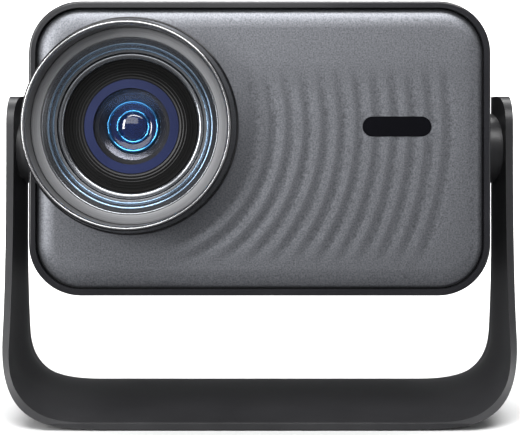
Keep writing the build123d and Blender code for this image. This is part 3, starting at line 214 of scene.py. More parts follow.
@dataclass(frozen=True)
class Finish:
    """A surface with a base colour, fine relief, cloudy tone and handling marks."""

    name: str
    colour: Colour
    roughness: float = 0.5
    metallic: float = 0.0
    grain_mm: float = 0.25
    grain_depth_mm: float = 0.006
    grain: Grain = Grain.EVEN
    variation: float = 0.12
    coat: float = 0.0
    specular: float = 0.5

    def material(self) -> Material:
        """Makes the material.

        Returns:
            The finished material.
        """
        canvas = Canvas(self.name)
        canvas.set(
            metallic=self.metallic, coat_weight=self.coat, coat_roughness=COAT_ROUGHNESS,
            specular_ior_level=self.specular,
        )
        where = canvas.scaled(self.grain.value)
        grain = canvas.noise(where, 0.5 / self.grain_mm)
        cloud = canvas.noise(canvas.scaled((1.0, 1.0, 1.0)), CLOUD_SCALE, 4.0)
        self.paint(canvas, grain, cloud)
        return canvas.material

    def paint(self, canvas: Canvas, grain: NodeSocket, cloud: NodeSocket) -> None:
        """Joins the patterns to the shader.

        Args:
            canvas: The material's nodes.
            grain: Fine pattern.
            cloud: Broad pattern.
        """
        spread = self.variation
        canvas.feed(
            "Base Color", canvas.tint(cloud, mixed(self.colour, 1 - spread), mixed(self.colour, 1 + spread))
        )
        rough = canvas.between(cloud, self.roughness * (1 - spread / 2), self.roughness * (1 + spread / 2))
        canvas.feed("Roughness", rough)
        canvas.feed("Normal", canvas.relief(grain, self.grain_depth_mm))


@dataclass(frozen=True)
class BlastedMetal(Finish):
    """Anodised metal blasted with fine beads: tiny bright and dark specks."""

    fleck_mm: float = 0.32
    fleck_contrast: float = 0.35

    def paint(self, canvas: Canvas, grain: NodeSocket, cloud: NodeSocket) -> None:
        """Speckles the colour and the roughness."""
        where = canvas.scaled((1.0, 1.0, 1.0))
        flecks = canvas.noise(where, 0.5 / self.fleck_mm, 3.0)
        colour = canvas.tint(
            flecks, mixed(self.colour, 1 - self.fleck_contrast), mixed(self.colour, 1 + self.fleck_contrast)
        )
        canvas.feed("Base Color", colour)
        canvas.feed("Roughness", canvas.between(flecks, self.roughness - 0.06, self.roughness + 0.06))
        canvas.feed("Normal", canvas.relief(grain, self.grain_depth_mm))


@dataclass(frozen=True)
class TurnedMetal(Finish):
    """Metal with the fine circular lines that a lathe leaves."""

    centre: tuple[float, float, float] = (0.0, 0.0, 0.0)
    lines_per_mm: float = 3.0

    def paint(self, canvas: Canvas, grain: NodeSocket, cloud: NodeSocket) -> None:
        """Draws the circular lines as colour, roughness and relief."""
        radius = canvas.radius_about(Vector(self.centre))
        line = canvas.node("ShaderNodeCombineXYZ", {"X": radius}).outputs["Vector"]
        lines = canvas.noise(line, self.lines_per_mm, 3.0)
        dark, light = mixed(self.colour, 1 - self.variation), mixed(self.colour, 1 + self.variation)
        canvas.feed("Base Color", canvas.tint(lines, dark, light))
        canvas.feed("Roughness", canvas.between(lines, self.roughness - 0.05, self.roughness + 0.07))
        canvas.feed("Normal", canvas.relief(lines, self.grain_depth_mm))


@dataclass(frozen=True)
class CircuitBoard(Finish):
    """Solder mask with copper tracks showing through."""

    track_mm: float = 1.2

    def paint(self, canvas: Canvas, grain: NodeSocket, cloud: NodeSocket) -> None:
        """Lays a maze of tracks in the colour and the relief."""
        where = canvas.scaled((1.0, 1.0, 1.0))
        cells = canvas.node(
            "ShaderNodeTexVoronoi", {"Vector": where, "Scale": 0.4 / self.track_mm},
            distance="CHEBYCHEV", feature="F1",
        )
        tracks = canvas.node(
            "ShaderNodeTexWave", {"Vector": cells.outputs["Color"], "Scale": 3.0}, wave_type="RINGS"
        ).outputs["Fac"]
        canvas.feed("Base Color", canvas.tint(tracks, self.colour, mixed(self.colour, 1.8), (0.4, 0.6)))
        canvas.feed("Roughness", canvas.between(tracks, self.roughness, self.roughness + 0.12))
        canvas.feed("Normal", canvas.relief(tracks, 0.03))


@dataclass(frozen=True)
class WovenMesh(Finish):
    """Fine square mesh, as on an air filter."""

    thread_mm: float = 0.8

    def paint(self, canvas: Canvas, grain: NodeSocket, cloud: NodeSocket) -> None:
        """Weaves two sets of threads."""
        where = canvas.scaled((1.0, 1.0, 1.0))
        sets = [
            canvas.node(
                "ShaderNodeTexWave", {"Vector": where, "Scale": 0.3 / self.thread_mm},
                wave_type="BANDS", bands_direction=axis,
            ).outputs["Fac"]
            for axis in ("X", "Y")
        ]
        woven = canvas.node("ShaderNodeMath", {0: sets[0], 1: sets[1]}, operation="MULTIPLY").outputs[0]
        canvas.feed("Base Color", canvas.tint(woven, mixed(self.colour, 0.4), mixed(self.colour, 1.4)))
        canvas.feed("Roughness", canvas.between(cloud, self.roughness, self.roughness + 0.1))
        canvas.feed("Normal", canvas.relief(woven, 0.2))


@dataclass(frozen=True)
class CoatedLens(Finish):
    """Clear element with a coating that mirrors its own colour, seen straight through."""

    alpha: float = 0.02

    def paint(self, canvas: Canvas, grain: NodeSocket, cloud: NodeSocket) -> None:
        """Makes the coating thin and gives it faint dust."""
        canvas.set(alpha=self.alpha)
        canvas.feed("Base Color", canvas.tint(cloud, self.colour, mixed(self.colour, 1 + self.variation)))
        canvas.feed("Roughness", canvas.between(cloud, self.roughness, self.roughness * 1.6))


@dataclass(frozen=True)
class Glass(Finish):
    """Polished glass, clear or nearly so, with a thin coating that tints what it mirrors."""

    transmission: float = 1.0
    film_nm: float = 0.0
    film_ior: float = 1.38
    ior: float = 1.5

    def paint(self, canvas: Canvas, grain: NodeSocket, cloud: NodeSocket) -> None:
        """Sets the glass, with faint dust in its roughness."""
        canvas.set(
            transmission_weight=self.transmission, ior=self.ior,
            thin_film_thickness=self.film_nm, thin_film_ior=self.film_ior,
        )
        light = mixed(self.colour, 1 + self.variation)
        canvas.feed("Base Color", canvas.tint(cloud, self.colour, light))
        canvas.feed("Roughness", canvas.between(cloud, self.roughness, self.roughness * 1.6))


# ---------------------------------------------------------------- modelling


def leave_edit_mode() -> None:
    """Goes back to object mode if a mesh is being edited."""
    if bpy.context.object is not None and bpy.context.object.mode != "OBJECT":
        bpy.ops.object.mode_set(mode="OBJECT")


def deselect_everything() -> None:
    """Leaves edit mode and deselects every object."""
    leave_edit_mode()
    bpy.ops.object.select_all(action="DESELECT")


def make_active(piece: Object) -> None:
    """Selects one object alone and makes it active."""
    deselect_everything()
    piece.select_set(True)
    bpy.context.view_layer.objects.active = piece


def named_new(name: str) -> Object:
    """Names the object just added and fixes its place into its mesh.

    Args:
        name: Name for the object and its mesh.

    Returns:
        The object.
    """
    piece = bpy.context.object
    piece.name = name
    piece.data.name = name
    bpy.ops.object.transform_apply(location=True, rotation=True, scale=True)
    return piece


def pick_edges(piece: Object, wanted: Callable[[Vector, Vector], bool]) -> int:
    """Selects a mesh's edges by the places of their ends and enters edit mode.

    Args:
        piece: The object to edit.
        wanted: Says whether an edge is selected.

    Returns:
        How many edges are selected.
    """
    make_active(piece)
    bpy.ops.object.mode_set(mode="EDIT")
    bpy.ops.mesh.select_mode(type="EDGE")
    bpy.ops.mesh.select_all(action="DESELECT")
    leave_edit_mode()
    mesh: Mesh = piece.data
    count = 0
    for edge in mesh.edges:
        first, second = (mesh.vertices[index].co for index in edge.vertices)
        if wanted(first, second):
            edge.select = True
            count += 1
    bpy.ops.object.mode_set(mode="EDIT")
    return count


def soften(points: Outline, radius: float, steps: int = 4, closed: bool = True) -> Outline:
    """Rounds the corners of an outline.

    Args:
        points: Corners of the outline, in order.
        radius: How far from a corner the rounding starts, at most.
        steps: Points in each rounded corner, less one.
        closed: Whether the outline's last point joins its first.

    Returns:
        The outline with short curves in place of its corners.
    """
    made: Outline = []
    count = len(points)
    for index, corner in enumerate(points):
        if not closed and index in (0, count - 1):
            made.append(corner)
            continue
        here = Vector(corner)
        ends = []
        for other in (points[index - 1], points[(index + 1) % count]):
            away = Vector(other) - here
            ends.append(here + away.normalized() * min(radius, away.length * 0.45))
        for step in range(steps + 1):
            share = step / steps
            point = (
                ends[0] * (1 - share) ** 2 + here * (2 * share * (1 - share)) + ends[1] * share**2
            )
            made.append((point.x, point.y))
    return made


@dataclass(frozen=True)
class Lathe:
    """Turns outlines of (radius, y) into round pieces about a line along Y."""

    axis: Vector
    segments: int = 192

    def turn(self, name: str, outline: Outline, ring: bool = True) -> Object:
        """Makes a round piece by extruding a circle from point to point of an outline.

        Args:
            name: Name of the piece.
            outline: Radius and y of each point, in metres.
            ring: True for a ring, whose outline closes on itself; False for a disc, whose ends
                close on the axis.

        Returns:
            The piece.
        """
        deselect_everything()
        radius, depth = outline[0]
        bpy.ops.mesh.primitive_circle_add(
            vertices=self.segments, radius=radius, location=(self.axis.x, depth, self.axis.z),
            rotation=(math.pi / 2, 0.0, 0.0),
        )
        piece = named_new(name)
        bpy.ops.object.mode_set(mode="EDIT")
        bpy.ops.mesh.select_all(action="SELECT")
        if not ring:
            self.close_first_ring()
        for next_radius, next_depth in [*outline[1:], *(outline[:1] if ring else [])]:
            self.step(next_radius / radius, depth, next_depth)
            radius, depth = next_radius, next_depth
        if not ring:
            bpy.ops.mesh.merge(type="CENTER")
        bpy.ops.mesh.select_all(action="SELECT")
        bpy.ops.mesh.remove_doubles(threshold=1e-7)
        bpy.ops.mesh.normals_make_consistent(inside=False)
        leave_edit_mode()
        bpy.ops.object.shade_smooth_by_angle(angle=math.radians(32))
        return piece

    def close_first_ring(self) -> None:
        """Draws a fan over the first ring and leaves the ring selected."""
        bpy.ops.mesh.extrude_region_move()
        bpy.ops.mesh.merge(type="CENTER")
        bpy.ops.mesh.select_all(action="SELECT")
        bpy.ops.mesh.region_to_loop()

    def step(self, growth: float, depth: float, next_depth: float) -> None:
        """Extrudes the selected ring to its next radius and depth."""
        bpy.ops.mesh.extrude_region_move()
        bpy.ops.transform.resize(
            value=(growth, 1.0, growth), center_override=(self.axis.x, depth, self.axis.z)
        )
        bpy.ops.transform.translate(value=(0.0, next_depth - depth, 0.0))


def cut_with(piece: Object, tool: Object, operation: str) -> None:
    """Applies a Boolean of two solids and deletes the tool.

    Args:
        piece: The solid that is changed.
        tool: The solid that cuts it.
        operation: DIFFERENCE, INTERSECT or UNION.
    """
    make_active(piece)
    boolean = piece.modifiers.new("cut", "BOOLEAN")
    boolean.operation = operation
    boolean.solver = "EXACT"
    boolean.object = tool
    bpy.ops.object.modifier_apply(modifier=boolean.name)
    bpy.data.objects.remove(tool)


def dress(piece: Object, finish: Finish) -> None:
    """Gives a piece one finish all over."""
    material = finish.material()
    piece.data.materials.clear()
    piece.data.materials.append(material)


def settle(piece: Object, body: Body, finish: Finish, nodes: Iterable[str] = ()) -> None:
    """Dresses a new piece and ties it to the frame.

    Args:
        piece: The piece.
        body: Body that it rides on.
        finish: Its finish.
        nodes: CAD nodes that it stands for.
    """
    dress(piece, finish)
    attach(piece, body.value)
    if nodes:
        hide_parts(*nodes)
    LOG.info("%s: %d faces on %s", piece.name, len(piece.data.polygons), body.value)


# ---------------------------------------------------------------- finishes by name

SLEEVE_PAINT = Finish("sleeve_gloss", (0.010, 0.010, 0.012), 0.24, coat=0.3, grain_depth_mm=0.002)
HOOD_GLOSS = Finish("hood_gloss", (0.008, 0.008, 0.009), 0.16, specular=0.4, grain_depth_mm=0.0012)
HOOD_METAL = TurnedMetal(
    "hood_metal", (0.42, 0.42, 0.43), 0.24, 0.95, variation=0.12, grain_depth_mm=0.002
)
STAND_COAT = Finish(
    "stand_coat", (0.026, 0.026, 0.028), 0.38, specular=0.38, grain_mm=0.35, grain_depth_mm=0.008
)
BLACK_SATIN = Finish("black_satin", (0.012, 0.012, 0.013), 0.38, grain_depth_mm=0.004)
BLACK_MATTE = Finish("black_matte", (0.010, 0.010, 0.011), 0.6, grain_mm=0.3, grain_depth_mm=0.012)
WINDOW_GLOSS = Finish("window_gloss", (0.002, 0.002, 0.003), 0.08, specular=0.3, grain_depth_mm=0.0005)
STEEL = Finish("steel", (0.42, 0.42, 0.43), 0.3, 1.0, grain=Grain.ALONG_X, grain_depth_mm=0.004)
BLACK_STEEL = Finish("black_steel", (0.05, 0.05, 0.055), 0.35, 0.9, grain_depth_mm=0.004)
ALUMINIUM = Finish("aluminium", (0.62, 0.63, 0.65), 0.32, 1.0, grain=Grain.ALONG_Y)
COPPER = Finish("copper", (0.60, 0.28, 0.16), 0.28, 1.0, grain=Grain.ALONG_X)
BRASS = Finish("brass", (0.62, 0.46, 0.20), 0.3, 1.0, grain=Grain.ALONG_Z)
RUBBER = Finish("rubber", (0.014, 0.014, 0.014), 0.75, grain_mm=0.6, grain_depth_mm=0.03)
PAPER_CONE = Finish("paper_cone", (0.03, 0.03, 0.03), 0.85, grain_mm=0.5, grain_depth_mm=0.03)
WHITE_PLASTIC = Finish("white_plastic", (0.72, 0.72, 0.68), 0.4)
PANEL_METAL = BlastedMetal("panel_metal", (0.155, 0.16, 0.175), 0.42, 0.75, grain_depth_mm=0.004)
BOARD = CircuitBoard("circuit_board", (0.012, 0.09, 0.035), 0.35)
FILTER = WovenMesh("filter_mesh", (0.05, 0.05, 0.055), 0.8)
LENS_GLASS = Glass("coated_glass", (0.93, 0.95, 1.0), 0.02, film_nm=480.0, variation=0.02)
PLATE_GLASS = Glass("plate_glass", (0.70, 0.74, 0.80), 0.04, transmission=0.9)
FRONT_GLASS = CoatedLens("front_glass", (0.20, 0.36, 0.80), 0.12, 1.0, variation=0.05)
LENS_METAL = TurnedMetal(
    "lens_metal", (0.30, 0.31, 0.33), 0.22, 0.95, variation=0.10, grain_depth_mm=0.002, lines_per_mm=2.0
)
BLUE_TRIM = Finish("blue_trim", (0.26, 0.36, 0.48), 0.25, 0.9, grain_depth_mm=0.001)
BAFFLE_BLACK = Finish("baffle_black", (0.004, 0.004, 0.004), 0.6, specular=0.12, grain_depth_mm=0.004)
CELL_METAL = Finish("cell_metal", (0.070, 0.072, 0.085), 0.26, 0.9, grain_depth_mm=0.0001)
CYAN_COAT = Finish("cyan_coat", (0.10, 0.42, 0.85), 0.12, 0.95, grain_depth_mm=0.0001)
DEEP_GLASS = Finish("deep_glass", (0.006, 0.012, 0.055), 0.05, coat=1.0, grain_depth_mm=0.0001)
SILVER = Finish("silvered", (0.86, 0.87, 0.88), 0.04, 1.0, grain_depth_mm=0.0003, variation=0.02)
# Painted reflection: this dark blue on the lens retainer stands for the blue reflection of the coated
# chamfer at the glass's edge.
PAINTED_BLUE_REFLECTION = Finish("blue_ring", (0.010, 0.017, 0.070), 0.34, 0.35, grain_depth_mm=0.002)

CARRIED_OVER: dict[str, Finish] = {
    "foot_pad": RUBBER, "tripod_insert": BRASS, "hinge_shafts": STEEL, "arm_caps": STAND_COAT,
    "arm_screws": STEEL, "stop_pins": STEEL, "friction_washers": STEEL, "hinge_nuts": STEEL,
    "stand_band": STAND_COAT, "housing_shell": SLEEVE_PAINT, "rear_cover": BLACK_MATTE,
    "case_screws": BLACK_STEEL, "hub_left": BLACK_SATIN, "hub_right": BLACK_SATIN,
    "hinge_brackets": STEEL, "lens_funnel": BLACK_SATIN, "lens_tube": BLACK_SATIN,
    "focus_motor": STEEL, "sensor_window": WINDOW_GLOSS, "sensor_board": BOARD,
    "engine_base": BLACK_MATTE, "engine_cover": BLACK_MATTE, "fold_mirror": SILVER,
    "lcd_panel": PLATE_GLASS, "fresnel_lenses": PLATE_GLASS, "polariser": PLATE_GLASS,
    "condenser_lens": LENS_GLASS, "led_module": WHITE_PLASTIC, "heat_sink": ALUMINIUM,
    "heat_pipes": COPPER, "exhaust_fan_frame": BLACK_SATIN, "exhaust_fan_rotor": BLACK_SATIN,
    "blower_case": BLACK_SATIN, "blower_rotor": BLACK_SATIN, "dust_filter": FILTER,
    "chassis_tray": ALUMINIUM, "main_board": BOARD, "board_shield": STEEL, "ports": STEEL,
    "power_board": BOARD, "power_parts": BLACK_MATTE, "ac_inlet": BLACK_SATIN,
    "inlet_pins": BRASS, "button_board": BOARD, "speaker_grilles": BLACK_MATTE,
    "speakers": BLACK_STEEL, "lens_barrel": BLACK_SATIN, "lens_front": FRONT_GLASS,
    # The retainer's dark blue is a painted reflection of the coated chamfer.
    "lens_middle": LENS_GLASS, "lens_rear": LENS_GLASS, "lens_retainer": PAINTED_BLUE_REFLECTION,
    "focus_pinion": WHITE_PLASTIC, "power_button": BLACK_SATIN, "speaker_cone_left": PAPER_CONE,
    "speaker_cone_right": PAPER_CONE, "front_panel": PANEL_METAL, "lens_bezel": HOOD_GLOSS,
    "lens_trim_ring": STEEL,
}


# ---------------------------------------------------------------- sub-assemblies


@dataclass
class LensGroup:
    """The hood, rings and baffles around the projection lens."""

    lip_radius: float = 0.7 * MM
    lip_inset: float = 2.8 * MM
    lip_taper: float = 0.15 * MM
    flange_gap: float = 0.2 * MM
    flange_thick: float = 2.4 * MM
    flange_chamfer: float = 0.7 * MM
    spigot_inset: float = 2.7 * MM
    spigot_wall: float = 1.2 * MM
    bore_gap: float = 0.1 * MM
    bore_flare: float = 2.2 * MM
    rim_proud: float = 0.12 * MM
    rim_wrap: float = 1.3 * MM
    rim_depth: float = 2.6 * MM
    trim_width: float = 4.0 * MM
    trim_edge: float = 0.25 * MM
    throat_gap: float = 2.8 * MM
    throat_depth: float = 4.8 * MM
    throat_wall: float = 0.4 * MM
    throat_land: float = 1.4 * MM
    throat_foot: tuple[float, float] = (2.1 * MM, 0.9 * MM)
    tube_gap: float = 0.12 * MM
    tube_lip_width: float = 2.45 * MM
    tube_lip_proud: float = 0.25 * MM
    tube_lip_back: float = 1.5 * MM
    tube_lip_chamfer: tuple[float, float] = (0.9 * MM, 0.5 * MM)
    baffle_land: float = 0.6 * MM
    baffle_proud: float = 0.35 * MM
    ridge_slope: float = 0.3 * MM
    ridge_count: int = 6
    ridge_height: float = 0.35 * MM
    ridge_share: float = 0.8
    cone_radii: tuple[float, float] = (16.4 * MM, 10.8 * MM)
    cone_depths: tuple[float, float] = (7.6 * MM, 10.4 * MM)
    cone_back: float = 11.4 * MM
    step_radii: tuple[float, float] = (10.9 * MM, 6.9 * MM)
    step_depths: tuple[float, float] = (10.7 * MM, 11.4 * MM)
    step_back: float = 11.8 * MM
    dome_radius: float = 6.5 * MM
    dome_back: float = 12.3 * MM
    dome_height: float = 2.0 * MM
    dome_rim: float = 0.3 * MM
    throat_rings: tuple[tuple[str, float, float, float], ...] = (
        ("throat_bead", 34.7 * MM, 2.9 * MM, 0.75 * MM),
        ("throat_blue_ring", 32.6 * MM, 4.3 * MM, 0.45 * MM),
    )
    cell_rings: tuple[tuple[str, float, float, float], ...] = (
        ("cell_outer_ring", 10.6 * MM, 9.9 * MM, 0.75 * MM),
        ("cell_inner_ring", 6.7 * MM, 10.9 * MM, 0.6 * MM),
    )
    lathe: Lathe = field(init=False)

    def __post_init__(self) -> None:
        """Finds the lens axis in the frame."""
        low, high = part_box("lens_trim_ring")
        self.trim_radius: float = (high.x - low.x) / 2
        self.lathe = Lathe((low + high) / 2)

    def radius_of(self, node: str) -> float:
        """Outer radius of a round node."""
        low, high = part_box(node)
        return (high.x - low.x) / 2

    def build(self) -> None:
        """Builds and dresses every piece of the group."""
        self.build_hood()
        self.build_trim_ring()
        self.build_throat()
        self.build_tube_lip()
        self.build_baffle()
        self.build_cell()

    def build_hood(self) -> None:
        """Makes the deep hood with its flange and rounded lip."""
        low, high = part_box("lens_bezel")
        flange = self.radius_of("lens_bezel")
        bore = self.trim_radius + self.bore_gap
        lip = flange - self.lip_inset
        flange_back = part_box("housing_shell")[0].y - self.flange_gap
        flange_front = flange_back - self.flange_thick
        spigot = self.trim_radius - self.spigot_inset
        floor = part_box("lens_trim_ring")[1].y
        outline = [
            (spigot, high.y), (spigot, flange_back), (flange, flange_back),
            (flange, flange_front), (flange - self.flange_chamfer, flange_front - self.flange_gap),
            (lip + self.lip_taper, low.y), (bore + self.bore_gap, low.y), (bore, low.y + self.bore_flare),
            (bore, floor), (spigot - self.spigot_wall, floor), (spigot - self.spigot_wall, high.y),
        ]
        hood = self.lathe.turn("lens_hood", soften(outline, self.lip_radius, 5))
        settle(hood, Body.HEAD, HOOD_GLOSS, ["lens_bezel"])
        self.build_hood_rim(lip, bore, low.y)

    def build_hood_rim(self, lip: float, bore: float, front: float) -> None:
        """Makes the bright metal rim on the front of the hood's lip.

        Args:
            lip: Outer radius of the lip.
            bore: Inner radius of the lip.
            front: Where the lip's front is.
        """
        outer, inner = lip + 0.2 * MM, bore - 0.15 * MM
        crown = front - self.rim_proud
        wrap, root = front + self.rim_wrap, front + self.rim_depth
        outline = [
            (outer, wrap), (outer, front + 0.5 * MM), (lip - 0.6 * MM, crown), (bore + 0.5 * MM, crown),
            (inner, front + 0.7 * MM), (inner, root), (bore + 0.6 * MM, root), (bore + 0.6 * MM, wrap),
        ]
        rim = self.lathe.turn("hood_rim", soften(outline, 0.2 * MM, 3))
        settle(rim, Body.HEAD, self.about_axis(HOOD_METAL))

    def build_trim_ring(self) -> None:
        """Makes the flat turned ring on the hood's floor."""
        low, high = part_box("lens_trim_ring")
        inner = self.trim_radius - self.trim_width
        outline = soften(
            [(self.trim_radius, high.y), (self.trim_radius, low.y), (inner, low.y), (inner, high.y)],
            self.trim_edge, 3,
        )
        ring = self.lathe.turn("lens_trim", outline)
        turned = TurnedMetal(
            "turned_ring", (0.30, 0.303, 0.315), 0.36, 0.6, variation=0.22, grain_depth_mm=0.006,
            centre=tuple(self.lathe.axis),
        )
        settle(ring, Body.HEAD, turned, ["lens_trim_ring"])

    def build_throat(self) -> None:
        """Makes the conical ring that leads down to the lens tube."""
        low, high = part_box("lens_funnel")
        outer = self.radius_of("lens_funnel")
        inner = self.radius_of("lens_barrel") + self.throat_gap
        floor = low.y + self.throat_depth
        foot_out, foot_rise = self.throat_foot
        outline = [
            (outer, high.y), (outer, low.y), (outer - self.throat_wall, low.y),
            (inner + foot_out, floor - foot_rise), (inner + self.throat_land, floor), (inner, floor),
            (inner, high.y),
        ]
        throat = self.lathe.turn("lens_throat", soften(outline, 0.3 * MM, 3))
        settle(throat, Body.HEAD, self.about_axis(LENS_METAL), ["lens_funnel"])
        for name, radius, depth, thick in self.throat_rings:
            self.round_ring(name, Body.HEAD, radius, low.y + depth, thick, BLUE_TRIM)

    def build_tube_lip(self) -> None:
        """Makes the rounded lip on the front of the lens tube."""
        tube_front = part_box("lens_tube")[0].y
        inner = self.radius_of("lens_barrel") + self.tube_gap
        outer = inner + self.tube_lip_width
        crown, back = tube_front - self.tube_lip_proud, tube_front + self.tube_lip_back
        chamfer_out, chamfer_back = self.tube_lip_chamfer
        outline = [
            (outer, back), (outer, crown), (inner + chamfer_out, crown),
            (inner, tube_front + chamfer_back), (inner, back),
        ]
        lip = self.lathe.turn("lens_tube_lip", soften(outline, 0.8 * MM, 5))
        settle(lip, Body.HEAD, self.about_axis(LENS_METAL))

    def build_baffle(self) -> None:
        """Makes the ridged ring in front of the barrel."""
        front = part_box("lens_barrel")[0].y
        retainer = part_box("lens_retainer")[0].y
        outer = self.radius_of("lens_barrel") - 0.3 * MM
        inner = self.radius_of("lens_retainer") + 0.1 * MM
        width = (outer - inner - self.baffle_land) / self.ridge_count
        outline: Outline = [(outer, front + 0.3 * MM), (outer, front - 0.4 * MM)]
        drop = (retainer - front) / self.ridge_count
        for index in range(self.ridge_count):
            edge = outer - self.baffle_land - index * width
            depth = front - self.baffle_proud + index * drop
            outline += [(edge, depth), (edge - self.ridge_slope, depth + self.ridge_height)]
            outline += [(edge - width * self.ridge_share, depth + self.ridge_height)]
        outline += [(inner, retainer - self.baffle_proud), (inner, retainer + 0.2 * MM)]
        baffle = self.lathe.turn("lens_baffle", outline)
        settle(baffle, Body.BARREL, BAFFLE_BLACK)

    def build_cell(self) -> None:
        """Makes what is seen through the front glass: a turned cone, rings and a deep dome."""
        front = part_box("lens_barrel")[0].y
        outer = self.radius_of("lens_retainer") - 0.3 * MM
        wide, narrow = self.cone_radii
        shallow, deep = (front + depth for depth in self.cone_depths)
        back = front + self.cone_back
        cone = [
            (outer, front + 8.0 * MM), (outer, shallow), (wide, shallow),
            (narrow, deep), (narrow, back), (outer, back),
        ]
        piece = self.lathe.turn("lens_cell", soften(cone, 0.2 * MM, 2))
        settle(piece, Body.BARREL, CELL_METAL)
        for name, radius, depth, thick in self.cell_rings:
            self.round_ring(name, Body.BARREL, radius, front + depth, thick, CYAN_COAT)
        wide, narrow = self.step_radii
        shallow, deep = (front + depth for depth in self.step_depths)
        back = front + self.step_back
        shelf = [(wide, back), (wide, shallow), (narrow, deep), (narrow, back)]
        step = self.lathe.turn("cell_step", soften(shelf, 0.1 * MM, 2))
        settle(step, Body.BARREL, DEEP_GLASS)
        self.build_dome(front + self.dome_back)

    def build_dome(self, back: float) -> None:
        """Makes the dark domed glass in the middle of the cell.

        Args:
            back: Where its back face is.
        """
        middle = 2 * TOUCH
        rim = back - self.dome_rim
        outline = [(middle, back)]
        for step in range(8):
            turn = math.pi / 2 * step / 8
            outline.append((self.dome_radius * math.cos(turn), rim - self.dome_height * math.sin(turn)))
        outline.append((middle, rim - self.dome_height))
        piece = Lathe(self.lathe.axis, 96).turn("cell_dome", outline, ring=False)
        settle(piece, Body.BARREL, DEEP_GLASS)

    def about_axis(self, finish: TurnedMetal) -> TurnedMetal:
        """A turned finish whose lines run about the lens axis."""
        return replace(finish, centre=tuple(self.lathe.axis))

    def round_ring(
        self, name: str, body: Body, radius: float, depth: float, thick: float, finish: Finish
    ) -> None:
        """Makes a ring of round section.

        Args:
            name: Name of the piece.
            body: Body that it rides on.
            radius: Radius of the middle of its section.
            depth: Where the middle of its section is, along Y.
            thick: Radius of its section.
            finish: Its finish.
        """
        turns = [math.tau * step / 12 for step in range(12)]
        outline = [(radius + thick * math.cos(turn), depth + thick * math.sin(turn)) for turn in turns]
        settle(self.lathe.turn(name, outline), body, finish)


